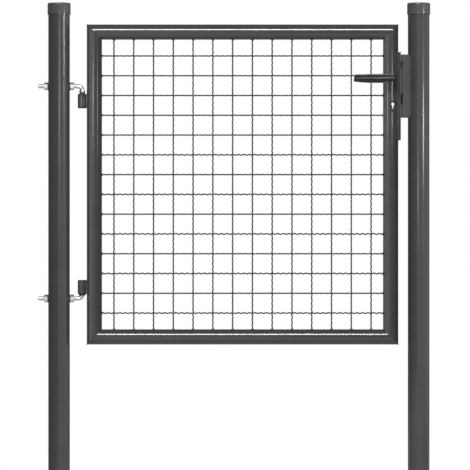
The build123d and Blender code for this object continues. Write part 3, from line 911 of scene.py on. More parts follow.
@dataclass
class HookHinge(SubAssembly):
    """A threaded rod through the post, bent to a pin, and the leaf's sleeve that turns on it."""

    palette: Palette
    name: str
    hook_node: str
    sleeve_node: str
    pin_points_up: bool
    rod_radius: float = 6.0 * MM
    bend_radius: float = 12.0 * MM
    pitch: float = 1.75 * MM
    thread_depth: float = 0.95 * MM
    thread_end: float = 50.0 * MM
    chamfer: float = 1.1 * MM
    collar_radius: float = 8.5 * MM
    collar_height: float = 5.0 * MM
    sleeve_radius: float = 12.5 * MM
    sleeve_bore: float = 8.5 * MM
    sleeve_edge: float = 0.7 * MM
    weld_radius: float = 2.7 * MM
    weld_offset: float = 4.6 * MM
    weld_inset: float = 1.5 * MM
    bush_bore: float = 6.05 * MM

    @property
    def pin_x(self) -> float:
        """The hinge axis."""
        return Span.of(self.sleeve_node).low.x + self.sleeve_radius

    @property
    def rod_z(self) -> float:
        """The height of the rod's axis."""
        span = Span.of(self.hook_node)
        return span.low.z + self.rod_radius if self.pin_points_up else span.high.z - self.rod_radius

    @property
    def rise(self) -> int:
        """1 where the pin points up and -1 where it points down."""
        return 1 if self.pin_points_up else -1

    def rod_path(self) -> list[Vector]:
        """The rod's axis: the threaded run, the bend and the pin."""
        span = Span.of(self.hook_node)
        pin_end = span.high.z if self.pin_points_up else span.low.z
        bend_x = self.pin_x - self.bend_radius
        centre = Vector((bend_x, 0, self.rod_z + self.rise * self.bend_radius))
        run = line((span.low.x, 0, self.rod_z), (self.thread_end, 0, self.rod_z), self.pitch / 8)
        run += line((self.thread_end, 0, self.rod_z), (bend_x, 0, self.rod_z), 2 * MM)[1:]
        for step in range(1, 13):
            angle = math.pi / 2 * step / 12
            spoke = Vector((math.sin(angle), 0, -self.rise * math.cos(angle)))
            run.append(centre + spoke * self.bend_radius)
        run += line(run[-1], (self.pin_x, 0, pin_end), 2 * MM)[1:]
        return run

    def rod(self) -> None:
        """Makes the threaded, bent rod with its collar."""
        path = self.rod_path()
        length = sum((after - before).length for before, after in zip(path, path[1:]))
        thread_length = self.thread_end - path[0].x

        def radius(distance: float, angle: float) -> float:
            """Thread, plain shank and chamfered ends.

            Args:
                distance: The distance along the rod.
                angle: The angle around it.

            Returns:
                The radius there.
            """
            turn = (distance / self.pitch + angle / TURN) % 1
            groove = self.thread_depth * max(0.0, min(1.0, 1.25 - abs(2 * turn - 1) * 2.0))
            fade = max(0.0, min(1.0, (thread_length - distance) / self.pitch))
            end = min(distance, length - distance)
            taper = max(0.0, self.chamfer - end)
            return self.rod_radius - groove * fade - taper

        form = Form()
        form.sweep(path, radius, Vector((0, 1, 0)), 32)
        low = self.rod_z + self.rise * self.bend_radius - self.collar_height
        overlap = self.rod_radius - 0.2 * MM
        collar = rounded(slab(overlap, self.collar_radius, 0, self.collar_height, 0.5 * MM))
        form.lathe(collar, (self.pin_x, 0, low))
        self.add(form.to_mesh(self.name + "_rod"), Body.POSTS, Slot.ZINC_PLATE, self.hook_node)

    def sleeve(self) -> None:
        """Makes the sleeve and the two weld beads that hold it to the stile."""
        span = Span.of(self.sleeve_node)
        profile = rounded(slab(self.sleeve_bore, self.sleeve_radius, 0, span.size.z, self.sleeve_edge))
        form = Form()
        form.lathe(profile, (self.pin_x, 0, span.low.z), steps=64)
        self.add(form.to_mesh(self.name + "_sleeve"), Body.LEAF, Slot.POWDER_COAT, self.sleeve_node)
        touch = self.pin_x + self.sleeve_radius
        for side, where in ((-1, "front"), (1, "back")):
            start = (touch, side * self.weld_offset, span.low.z + self.weld_inset)
            end = (touch, side * self.weld_offset, span.high.z - self.weld_inset)
            run = bead(line(start, end, 0.6 * MM), self.weld_radius, Vector((0, 1, 0)))
            self.add(run.to_mesh(f"{self.name}_sleeve_weld_{where}", 60), Body.LEAF, Slot.POWDER_COAT)

    def bush(self, node: str, profile: Sequence[Corner]) -> None:
        """Makes a nylon bush.

        Args:
            node: The bush.
            profile: Its closed profile, with heights measured from its lower end.
        """
        form = Form()
        form.lathe(rounded(profile, 4), (self.pin_x, 0, Span.of(node).low.z), steps=64)
        self.add(form.to_mesh(node + "_moulding"), Body.LEAF, Slot.BLACK_NYLON, node)


@dataclass
class Hinges(SubAssembly):
    """Both hook hinges, with the bushes, nuts and washers that belong to them."""

    palette: Palette
    nut_flats: float = 19.0 * MM
    nut_height: float = 10.0 * MM
    nut_bore: float = 6.05 * MM
    nut_land: float = 0.94
    nut_chamfer: float = math.radians(30)
    nut_steps: int = 72
    washer_corner: float = 2.5 * MM
    washer_edge: float = 0.7 * MM
    washer_bore: float = 6.1 * MM
    bush_radius: float = 8.5 * MM
    bush_length: float = 12.0 * MM
    bush_lead: float = 0.3 * MM
    flange_radius: float = 12.0 * MM
    flange_height: float = 3.0 * MM
    flange_edge: float = 0.6 * MM
    spigot_radius: float = 7.5 * MM
    spigot_height: float = 3.7 * MM
    cone_foot: float = 9.0 * MM
    cone_height: float = 6.0 * MM
    thrust_recess: float = 3.55 * MM

    def nut_face(self, middle: Vector, inward: int) -> list[list[Vector]]:
        """One chamfered face of a nut.

        Args:
            middle: Where the rod's axis meets the face.
            inward: The side of the face that the nut lies on, 1 for +X and -1 for -X.

        Returns:
            The rings of the bore, the flat land and the chamfer's foot, in that order.
        """
        inradius = self.nut_flats / 2
        land = inradius * self.nut_land
        bore, flat, rim = [], [], []
        for step in range(self.nut_steps):
            angle = TURN * step / self.nut_steps
            across = (angle + math.pi / 6) % (math.pi / 3) - math.pi / 6
            reach = inradius / math.cos(across)
            drop = (reach - land) * math.tan(self.nut_chamfer)
            spoke = Vector((0, math.cos(angle), math.sin(angle)))
            bore.append(middle + spoke * self.nut_bore)
            flat.append(middle + spoke * land)
            rim.append(middle + spoke * reach + Vector((inward * drop, 0, 0)))
        return [bore, flat, rim]

    def nuts(self, heights: Sequence[float]) -> None:
        """Makes the four hexagon nuts, chamfered on both faces.

        Args:
            heights: The height of each rod.
        """
        span = Span.of("hinge_nuts")
        form = Form()
        for low_x in (span.low.x, span.high.x - self.nut_height):
            for height in heights:
                near = self.nut_face(Vector((low_x, 0, height)), 1)
                far = self.nut_face(Vector((low_x + self.nut_height, 0, height)), -1)
                form.skin([*near, *reversed(far)], closed=True)
        mesh = form.to_mesh("hinge_nuts_chamfered", 20)
        self.add(mesh, Body.POSTS, Slot.ZINC_PLATE, "hinge_nuts")

    def washer(self, side: int, height: float) -> list[list[Vector]]:
        """The rings of one saddle washer, around its section.

        Args:
            side: The side of the post that it sits on, 1 for +X and -1 for -X.
            height: The height of the rod through it.

        Returns:
            The rings, from the seat's outline over the outer face and the bore back to the seat.
        """
        span = Span.of("saddle_washers")
        half = span.size.y / 2
        face = abs(span.low.x)
        seat = Span.of("hinge_post").size.x / 2
        outline = rounded(slab(-half, half, -half, half, self.washer_corner), 8)

        def ring(points: Sequence[tuple[float, float]], depth: float | None = None) -> list[Vector]:
            """Places the points of one ring.

            Args:
                points: Their places across the rod.
                depth: Their distance from the post's axis; without one they lie on its round wall.

            Returns:
                The ring.
            """
            made = []
            for y, z in points:
                x = math.sqrt(seat**2 - y**2) if depth is None else depth
                made.append(Vector((side * x, y, height + z)))
            return made

        shrink = 1 - self.washer_edge / half
        top = [(y * shrink, z * shrink) for y, z in outline]
        hole = [tuple(Vector(point).normalized() * self.washer_bore) for point in outline]
        rings = [ring(outline), ring(outline, face - self.washer_edge), ring(top, face)]
        rings += [ring(hole, face), ring(hole)]
        for share in (0.35, 0.7):
            between = [tuple(Vector(inner).lerp(Vector(outer), share)) for inner, outer in zip(hole, outline)]
            rings.append(ring(between))
        return rings

    def washers(self, heights: Sequence[float]) -> None:
        """Makes the four saddle washers: square, rounded, with a back that fits the post.

        Args:
            heights: The height of each rod.
        """
        form = Form()
        for side in (-1, 1):
            for height in heights:
                form.skin(self.washer(side, height), closed=True)
        self.add(form.to_mesh("saddle_washers_moulded"), Body.POSTS, Slot.BLACK_NYLON, "saddle_washers")

    def bushes(self, upper: HookHinge, lower: HookHinge) -> None:
        """Makes the four bushes in the two sleeves.

        Args:
            upper: The hinge whose pin points down.
            lower: The hinge whose pin points up and carries the leaf.
        """
        bore, body, flange, edge = upper.bush_bore, self.bush_radius, self.flange_radius, self.flange_edge
        lead, seat, length = self.bush_lead, self.bush_length, self.bush_length + self.flange_height
        top = length + self.spigot_height
        upper.bush(
            "upper_top_bush",
            [
                (bore, 0, 0),
                (body, 0, lead),
                (body, seat, 0),
                (flange, seat, edge),
                (flange, length, edge),
                (self.spigot_radius, length, edge),
                (self.spigot_radius, top, edge),
                (bore, top, lead),
            ],
        )
        flanged = [
            (bore, 0, lead),
            (flange, 0, edge),
            (flange, self.flange_height, edge),
            (body, self.flange_height, 0),
            (body, length, lead),
            (bore, length, 0),
        ]
        upper.bush("upper_bottom_bush", flanged)
        lower.bush("lower_top_bush", [(radius, length - z, arc) for radius, z, arc in reversed(flanged)])
        lower.bush(
            "lower_thrust_bush",
            [
                (self.spigot_radius, 0, lead),
                (self.cone_foot, 0, edge),
                (flange, self.cone_height, edge),
                (body, self.cone_height, 0),
                (body, self.cone_height + seat, lead),
                (bore, self.cone_height + seat, 0),
                (bore, self.thrust_recess, 0),
                (self.spigot_radius, self.thrust_recess, 0),
            ],
        )

    def build(self) -> None:
        """Makes both hinges."""
        upper = HookHinge(self.palette, "upper_hinge", "upper_hook_bolt", "upper_hinge_sleeve", False)
        lower = HookHinge(
            self.palette,
            "lower_hinge",
            "lower_hook_bolt",
            "lower_hinge_sleeve",
            True,
            collar_radius=7.0 * MM,
            collar_height=3.0 * MM,
        )
        for hinge in (upper, lower):
            hinge.rod()
            hinge.sleeve()
        heights = [upper.rod_z, lower.rod_z]
        self.nuts(heights)
        self.washers(heights)
        self.bushes(upper, lower)


# Leaf frame


@dataclass
class LeafFrame(SubAssembly):
    """Four tubes mitred at the corners, with ground-down weld beads along the mitres."""

    palette: Palette
    wall: float = 1.5 * MM
    steps: int = 120
    bead_radius: float = 1.5 * MM
    bead_sunk: float = 0.75 * MM
    bead_steps: int = 150
    mitre_reach: float = 1.5

    def __post_init__(self) -> None:
        """Reads the frame's outline."""
        left, right = Span.of("hinge_stile"), Span.of("latch_stile")
        self.radius = left.size.x / 2
        self.low = Vector((left.centre.x, 0, left.low.z + self.radius))
        self.high = Vector((right.centre.x, 0, left.high.z - self.radius))

    def tube_rings(
        self,
        along: int,
        across: float,
        slopes: tuple[int, int],
        radius: float,
    ) -> list[list[Vector]]:
        """The rings of one wall of a tube, from its low mitre to its high one.

        Args:
            along: 0 for a rail and 2 for a stile.
            across: Where the tube's axis lies on the other axis.
            slopes: How each end runs along the tube as the wall goes outwards or upwards.
            radius: The wall's radius.

        Returns:
            One ring at each end, and straight ones near the mitres.
        """
        start, end = self.low[along], self.high[along]
        reach = self.mitre_reach * self.radius
        rings = []
        for base, slope in ((start, slopes[0]), (start + reach, 0), (end - reach, 0), (end, slopes[1])):
            ring = []
            for step in range(self.steps):
                angle = TURN * (step + 0.5) / self.steps
                side, depth = radius * math.cos(angle), radius * math.sin(angle)
                point = Vector((0, depth, 0))
                point[along] = base + slope * side
                point[2 - along] = across + side
                ring.append(point)
            rings.append(ring)
        return rings

    def tube(
        self,
        node: str,
        along: int,
        across: float,
        slopes: tuple[int, int],
        cuts: Form | None = None,
    ) -> None:
        """Makes one tube of the frame and cuts its openings.

        Args:
            node: The rail or stile.
            along: 0 for a rail and 2 for a stile.
            across: Where the tube's axis lies on the other axis.
            slopes: How each end runs along the tube as the wall goes outwards or upwards.
            cuts: What is cut out of a stile.
        """
        form = Form()
        outer = self.tube_rings(along, across, slopes, self.radius)
        inner = self.tube_rings(along, across, slopes, self.radius - self.wall)
        form.skin([*outer, *reversed(inner)], closed=True)
        mesh = form.to_mesh(node + "_tube", 30)
        if cuts:
            mesh = worked(mesh, [(Join.CUT, cuts)])
            true_tube_normals(mesh, Vector((across, 0, 0)), (self.radius, self.radius - self.wall))
        self.add(mesh, Body.LEAF, Slot.POWDER_COAT, node)

    def mitre_beads(self) -> None:
        """Makes the weld bead around each of the four mitres."""
        for x, z, slope, name in (
            (self.low.x, self.low.z, 1, "lower_left"),
            (self.low.x, self.high.z, -1, "upper_left"),
            (self.high.x, self.low.z, -1, "lower_right"),
            (self.high.x, self.high.z, 1, "upper_right"),
        ):
            path = []
            reach = self.radius - self.bead_sunk
            for step in range(self.bead_steps):
                angle = TURN * step / self.bead_steps
                side = reach * math.cos(angle)
                path.append(Vector((x + side, reach * math.sin(angle), z + slope * side)))
            normal = Vector((1, 0, -slope)).normalized()
            form = bead(path, self.bead_radius, normal, closed=True)
            self.add(form.to_mesh(f"mitre_weld_{name}", 60), Body.LEAF, Slot.POWDER_COAT)

    def build(self, lock_cuts: Form) -> None:
        """Makes the four tubes and their welds.

        Args:
            lock_cuts: What the lock cuts out of the latch stile.
        """
        self.tube("top_rail", 0, self.high.z, (-1, 1))
        self.tube("bottom_rail", 0, self.low.z, (1, -1))
        self.tube("hinge_stile", 2, self.low.x, (1, -1))
        self.tube("latch_stile", 2, self.high.x, (-1, 1), lock_cuts)
        self.mitre_beads()


# Wire mesh


@dataclass
class WireMesh(SubAssembly):
    """Crimped wires woven over and under each other and welded into the frame.

    From first_wavy_row down, every second level wire also waves up and down, by the amount sideways.
    """

    palette: Palette
    wires: int = 14
    wire_radius: float = 2.0 * MM
    amplitude: float = 2.05 * MM
    waves_per_cell: float = 3.5
    samples: int = 8
    steps: int = 8
    first_wavy_row: int = 5
    sideways: float = 1.0 * MM
    level_sway: float = 0.25 * MM
    upright_sway: float = 0.5 * MM
    end_overlap: float = 1.0 * MM
    blob_radius: float = 4.2 * MM
    blob_flatness: float = 0.72
    blob_depth: float = 0.9
    blob_unevenness: float = 0.22

    def places(self, node: str, axis: int) -> list[float]:
        """Where a layer's wires lie.

        Args:
            node: The layer.
            axis: The axis across its wires.

        Returns:
            Each wire's place on that axis.
        """
        span = Span.of(node)
        low, high = span.low[axis] + self.wire_radius, span.high[axis] - self.wire_radius
        return [low + (high - low) * index / (self.wires - 1) for index in range(self.wires)]

    def layer(self, name: str, node: str, along: int) -> None:
        """Makes one layer of wires.

        Args:
            name: The piece's name.
            node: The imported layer.
            along: The axis that the wires run along, 0 for X and 2 for Z.
        """
        across = 2 - along
        span = Span.of(node)
        rows = self.places(node, across)
        other = "mesh_verticals" if along == 0 else "mesh_horizontals"
        crossing = self.places(other, along)[0]
        period = (rows[1] - rows[0]) / self.waves_per_cell
        sway = self.level_sway if along == 0 else self.upright_sway
        side = Vector((0, 0, 0))
        side[across] = 1
        form = Form()
        for index, row in enumerate(rows):
            from_top = self.wires - 1 - index
            wavy = along == 0 and from_top % 2 == 1 and from_top >= self.first_wavy_row
            start, end = span.low[along] - self.end_overlap, span.high[along] + self.end_overlap
            count = math.ceil((end - start) / period * self.samples)
            lift = (1 if along == 2 else -1) * (-1) ** index * self.amplitude
            path = []
            for step in range(count + 1):
                place = start + (end - start) * step / count
                phase = TURN * (place - crossing) / period
                point = Vector((0, -lift * math.cos(phase), 0))
                point[along] = place
                point[across] = row + (self.sideways * math.cos(phase) if wavy else sway * math.sin(phase))
                path.append(point)
            form.sweep(path, lambda distance, angle: self.wire_radius, side, self.steps)
        self.add(form.to_mesh(name, 80), Body.LEAF, Slot.POWDER_COAT, node)

    def blobs(self) -> None:
        """Makes the weld blob at each wire's ends, no two quite alike."""
        form = Form()
        columns, rows = self.places("mesh_verticals", 0), self.places("mesh_horizontals", 2)
        vertical, level = Span.of("mesh_verticals"), Span.of("mesh_horizontals")
        ends = [Vector((x, 0, z)) for x in columns for z in (vertical.low.z, vertical.high.z)]
        ends += [Vector((x, 0, z)) for z in rows for x in (level.low.x, level.high.x)]
        for count, end in enumerate(ends):
            outward = 2 if count < 2 * self.wires else 0
            form.skin(self.blob(end, outward, count))
        self.add(form.to_mesh("mesh_weld_blobs", 80), Body.LEAF, Slot.POWDER_COAT)

    def blob(self, end: Vector, outward: int, count: int) -> list[list[Vector]]:
        """The rings of one weld blob around a wire's end.

        Args:
            end: Where the wire meets the tube.
            outward: The axis that the wire runs along.
            count: The blob's number, which makes it differ from its neighbours.

        Returns:
            Rings from one pole of the blob to the other.
        """
        rings = []
        for ring in range(1, 8):
            polar = math.pi * ring / 8
            points = []
            for step in range(12):
                angle = TURN * step / 12
                flat = math.sin(polar)
                spoke = Vector((flat * math.cos(angle), flat * math.sin(angle), math.cos(polar)))
                uneven = noise.noise(spoke * 1.3 + Vector((count * 3.7, 0, 0)))
                spoke *= self.blob_radius * (1 + self.blob_unevenness * uneven)
                spoke[outward] *= self.blob_flatness
                spoke.y *= self.blob_depth
                points.append(end + spoke)
            rings.append(points)
        return rings

    def build(self) -> None:
        """Makes both layers of wires and their welds."""
        self.layer("crimped_verticals", "mesh_verticals", 2)
        self.layer("crimped_horizontals", "mesh_horizontals", 0)
        self.blobs()


# Lock


@dataclass
class Lock(SubAssembly):
    """The slim lock in the latch stile: its openings, backing bar, forend, screws, insert and bolts."""

    palette: Palette
    slot_gap: float = 0.3 * MM
    lever_hole: float = 9.0 * MM
    insert_round: float = 8.6 * MM
    insert_stem: float = 5.1 * MM
    insert_drop: float = 19.5 * MM
    key_drop: float = 8.5 * MM
    screw_radius: float = 2.5 * MM
    head_radius: float = 4.5 * MM
    head_depth: float = 2.3 * MM
    screw_inset: float = 8.0 * MM
    recess_reach: float = 2.3 * MM
    recess_half: float = 0.5 * MM
    recess_depth: float = 1.4 * MM
    weld_radius: float = 1.7 * MM
    weld_inset: float = 2.0 * MM
    weld_step: float = 0.9 * MM

    def __post_init__(self) -> None:
        """Reads where the spindle and the keyhole are."""
        self.spindle = Span.of("spindle").centre
        self.key_z = Span.of("key_insert").high.z - self.key_drop
        forend = Span.of("forend")
        self.screw_heights = (forend.low.z + self.screw_inset, forend.high.z - self.screw_inset)

    def stile_cuts(self) -> Form:
        """What is cut out of the latch stile: the case's slot, the lever's and the key's holes."""
        case, stile = Span.of("lock_case"), Span.of("latch_stile")
        reach = stile.size.y
        cuts = Form()
        half = case.size.y / 2 + self.slot_gap
        slot = slab(-half, half, case.low.z - self.slot_gap, case.high.z + self.slot_gap)
        cuts.prism([(u, v) for u, v, _ in slot], stile.centre.x, stile.high.x + reach, Facing.SIDE)
        for height in self.screw_heights:
            disc = [(self.screw_radius, 0), (self.screw_radius, reach)]
            cuts.lathe(disc, (stile.centre.x, 0, height), Facing.SIDE, 32, closed=False)
        barrel = [(self.lever_hole, -reach), (self.lever_hole, reach)]
        cuts.lathe(barrel, (self.spindle.x, 0, self.spindle.z), Facing.FRONT, 64, closed=False)
        cuts.prism(self.insert_outline(), -reach, reach, Facing.FRONT)
        return cuts

    def insert_outline(self) -> list[tuple[float, float]]:
        """The outline of the hole around the key insert: a round head over a narrow rounded stem."""
        x, z = self.spindle.x, self.key_z
        meet = math.asin(self.insert_stem / self.insert_round)
        points = []
        for step in range(41):
            angle = -math.pi / 2 + meet + (TURN - 2 * meet) * step / 40
            points.append((x + self.insert_round * math.cos(angle), z + self.insert_round * math.sin(angle)))
        for step in range(21):
            angle = math.pi + math.pi * step / 20
            low = z - self.insert_drop
            points.append((x + self.insert_stem * math.cos(angle), low + self.insert_stem * math.sin(angle)))
        return points

    def forend_screws(self) -> None:
        """Makes the two countersunk screws with their cross recesses."""
        face = Span.of("forend").high.x
        length = Span.of("forend_screws").size.x
        form = Form()
        for height in self.screw_heights:
            profile = [
                (self.screw_radius * 0.7, 0),
                (self.screw_radius, 0.8 * MM),
                (self.screw_radius, length - self.head_depth),
                (self.head_radius, length - 0.15 * MM),
                (self.head_radius - 0.15 * MM, length),
            ]
            form.lathe(profile, (face - length, 0, height), Facing.SIDE, 40, closed=False)
        mesh = form.to_mesh("forend_screws_cross_recessed")
        for height in self.screw_heights:
            for wide, tall in (
                (self.recess_half, self.recess_reach),
                (self.recess_reach, self.recess_half),
            ):
                arm = [(u, v) for u, v, _ in slab(-wide, wide, height - tall, height + tall)]
                recess = Form()
                recess.prism(arm, face - self.recess_depth, face + 1 * MM, Facing.SIDE)
                mesh = worked(mesh, [(Join.CUT, recess)])
        self.add(mesh, Body.LEAF, Slot.ZINC_PLATE, "forend_screws")

    def bar_beads(self) -> None:
        """Makes the weld beads that hold the backing bar to the stile."""
        bar = Span.of("lock_backing_bar")
        for side, name in ((-1, "front"), (1, "back")):
            low = (bar.low.x + 0.4 * MM, side * (bar.high.y - 0.2 * MM), bar.low.z + self.weld_inset)
            high = (low[0], low[1], bar.high.z - self.weld_inset)
            form = bead(line(low, high, self.weld_step), self.weld_radius, Vector((0, 1, 0)))
            self.add(form.to_mesh(f"backing_bar_weld_{name}", 60), Body.LEAF, Slot.POWDER_COAT)

    def build(self) -> None:
        """Makes the lock's visible pieces."""
        self.refined("lock_backing_bar", Body.LEAF, Slot.POWDER_COAT, 0.4 * MM)
        self.refined("forend", Body.LEAF, Slot.POWDER_COAT, 0.3 * MM)
        self.refined("key_insert", Body.LEAF, Slot.BLACKENED_STEEL, 0.25 * MM)
        self.refined("latch_bolt", Body.LATCH, Slot.BLACKENED_STEEL, 0.4 * MM)
        self.refined("dead_bolt", Body.DEAD_BOLT, Slot.BLACKENED_STEEL, 0.4 * MM)
        self.forend_screws()
        self.bar_beads()


# Handle


@dataclass
class Lever(SubAssembly):
    """A lever handle: a grip with bevelled edges and a ridge along its face, and its neck."""

    palette: Palette
    node: str
    side: int
    grip_near: float = 50.0 * MM
    grip_depth: float = 14.0 * MM
    hub_radius: float = 10.7 * MM
    reach: float = 107.0 * MM
    tip_top: float = 8.7 * MM
    tip_drop: float = 7.4 * MM
    belly_drop: float = 10.9 * MM
    slant: float = 1.6 * MM
    slant_fade: float = 9.0 * MM
    top_corner: float = 0.9 * MM
    low_corner: float = 2.6 * MM
    end_bevel: float = 4.0 * MM
    bevel_depth: float = 4.0 * MM
    facet_depth: float = 4.8 * MM
    ridge_drop: float = 1.8 * MM
    ridge_radius: float = 3.6 * MM
    rim_height: float = 2.7 * MM
    rim_depth: float = 0.4 * MM
    edge_radius: float = 1.8 * MM
    low_bevel: float = 3.2 * MM
    stations: int = 20
    square_half: float = 4.05 * MM
    square_near: float = 5.0 * MM
    square_far: float = 45.5 * MM
    pivot_radius: float = 8.0 * MM
    pivot_start: float = 8.6 * MM
    neck_radius: float = 10.0 * MM
    neck_end: float = 44.0 * MM
    neck_gap: float = 0.6 * MM
    flare_radius: float = 10.9 * MM
    flare_end: float = 52.0 * MM
    screw_radius: float = 2.5 * MM
    screw_offset: float = 30.0 * MM
    screw_low: float = -20.0 * MM
    screw_high: float = -4.0 * MM

    def __post_init__(self) -> None:
        """Reads the spindle's axis."""
        self.spindle = Span.of("spindle").centre

    def corner_inset(self, radius: float, along: float) -> float:
        """How far a rounded corner keeps back from the grip's edge, at a distance from the free end."""
        return radius - math.sqrt(radius**2 - max(0.0, radius - along) ** 2)

    def section(self, along: float, squeeze: float) -> list[Vector]:
        """One section of the grip.

        Args:
            along: The distance from the free end.
            squeeze: How much of its height is left, from 0 to 1, where the hub rounds off.

        Returns:
            The section's points.
        """
        share = min(1.0, along / self.reach)
        top = self.tip_top + (self.hub_radius - self.tip_top) * share
        swell = math.sin(math.pi / 2 * min(1.0, share * 1.9))
        low = -(self.tip_drop + (self.belly_drop - self.tip_drop) * swell)
        low += (self.belly_drop - self.hub_radius) * max(0.0, share * 2 - 1)
        front = self.grip_depth
        front -= self.bevel_depth * max(0.0, 1 - along / self.end_bevel)
        front -= self.bevel_depth * (1 - squeeze) ** 1.5
        top -= self.corner_inset(self.top_corner, along)
        low += self.corner_inset(self.low_corner, along)
        back = front - self.facet_depth
        corners = [
            (0, low, 0.8 * MM),
            (back, low, 0.8 * MM),
            (front - 0.5 * MM, low + self.low_bevel, 1.6 * MM),
            (front, -self.ridge_drop, self.ridge_radius),
            (back, top - self.rim_height, 0.3 * MM),
            (back - self.rim_depth, top, self.edge_radius),
            (0, top, 0.8 * MM),
        ]
        points = []
        fade = max(0.0, 1 - along / self.slant_fade) ** 2
        for depth, height in rounded(corners, 4):
            shift = self.slant * fade * (height - low) / (top - low)
            x = self.spindle.x - self.reach + along + shift
            points.append(Vector((x, -self.grip_near - depth, self.spindle.z + height * squeeze)))
        return points

    def grip(self) -> Form:
        """The grip, from its slanted free end to the rounded hub."""
        near_end = [0.0, 0.15, 0.4, 0.8, 1.4, 2.0, 2.7, 3.5, 4.5, 6.0, 9.0, 12.0]
        rings = [self.section(station * MM, 1.0) for station in near_end]
        start = 16.0 * MM
        for step in range(self.stations + 1):
            rings.append(self.section(start + (self.reach - start) * step / self.stations, 1.0))
        for degrees in (12, 24, 36, 47, 57, 66, 74, 80, 85):
            angle = math.radians(degrees)
            rings.append(self.section(self.reach + self.hub_radius * math.sin(angle), math.cos(angle)))
        form = Form()
        form.skin(rings)
        return form

    def neck(self) -> Form:
        """The neck behind the hub and the collar that turns in the stile's wall."""
        start = Span.of("latch_stile").size.y / 2 + self.neck_gap
        profile = [
            (self.pivot_radius - 0.6 * MM, self.pivot_start),
            (self.pivot_radius, self.pivot_start + 0.6 * MM),
            (self.pivot_radius, start),
            (self.neck_radius - 0.5 * MM, start),
            (self.neck_radius, start + 0.5 * MM),
            (self.neck_radius, self.neck_end),
            (self.neck_radius + 0.3 * MM, self.neck_end + 3.5 * MM),
            (self.flare_radius, self.flare_end - 2.0 * MM),
            (self.flare_radius, self.flare_end),
        ]
        form = Form()
        centre = (self.spindle.x, 0, self.spindle.z)
        form.lathe(profile, centre, Facing.FRONT, 64, closed=False)
        return form

    def hollows(self) -> list[Form]:
        """The square hole for the spindle and the grub screw's hole below it."""
        x, z, half = self.spindle.x, self.spindle.z, self.square_half
        outline = [(u, v) for u, v, _ in slab(x - half, x + half, z - half, z + half)]
        square = Form()
        square.prism(outline, self.square_near, self.square_far, Facing.FRONT)
        hole = Form()
        bore = [(self.screw_radius, self.screw_low), (self.screw_radius, self.screw_high)]
        hole.lathe(bore, (x, -self.screw_offset, z), Facing.PLAN, 32, closed=False)
        return [square, hole]

    def build(self) -> None:
        """Makes the lever and turns it over for the back of the gate."""
        forms = [self.grip(), self.neck(), *self.hollows()]
        if self.side > 0:
            for form in forms:
                bmesh.ops.scale(form.mesh, vec=(1, -1, 1), verts=form.mesh.verts)
        grip, neck, square, hole = forms
        mesh = grip.to_mesh(self.node + "_moulding", 50)
        mesh = worked(mesh, [(Join.ADD, neck), (Join.CUT, square), (Join.CUT, hole)], 32)
        self.add(mesh, Body.HANDLE, Slot.LEVER_PLASTIC, self.node)


# Strike


@dataclass
class Strike(SubAssembly):
    """The strike channel on the latch post, with its weld beads."""

    palette: Palette
    bead_radius: float = 1.9 * MM
    bead_inset: float = 2.0 * MM
    bead_step: float = 0.9 * MM

    def build(self) -> None:
        """Makes the channel and the two beads along the post."""
        self.refined("strike_channel", Body.POSTS, Slot.POWDER_COAT, 0.35 * MM)
        channel, post = Span.of("strike_channel"), Span.of("latch_post")
        side_y = channel.size.y / 2
        touch = post.centre.x - math.sqrt((post.size.x / 2) ** 2 - side_y**2)
        for side, name in ((-1, "front"), (1, "back")):
            low = (touch, side * (side_y - 0.4 * MM), channel.low.z + self.bead_inset)
            high = (touch, low[1], channel.high.z - self.bead_inset)
            form = bead(line(low, high, self.bead_step), self.bead_radius, Vector((0, 1, 0)))
            self.add(form.to_mesh(f"strike_weld_{name}", 60), Body.POSTS, Slot.POWDER_COAT)


# Studio


@dataclass(frozen=True)
class SoftBox:
    """A rectangular light aimed at a point."""

    name: str
    place: Corner
    aim: Corner
    width: float
    height: float
    power: float
    only_on: LightGroup | None = None

    def build(self) -> None:
        """Hangs the light."""
        data = bpy.data.lights.new(self.name, "AREA")
        data.shape = "RECTANGLE"
        data.size, data.size_y, data.energy = self.width, self.height, self.power
        lamp = bpy.data.objects.new(self.name, data)
        lamp.location = self.place
        lamp.rotation_euler = (Vector(self.aim) - Vector(self.place)).to_track_quat("-Z", "Y").to_euler()
        if self.only_on:
            lamp.light_linking.receiver_collection = self.only_on.pieces
        bpy.context.scene.collection.objects.link(lamp)


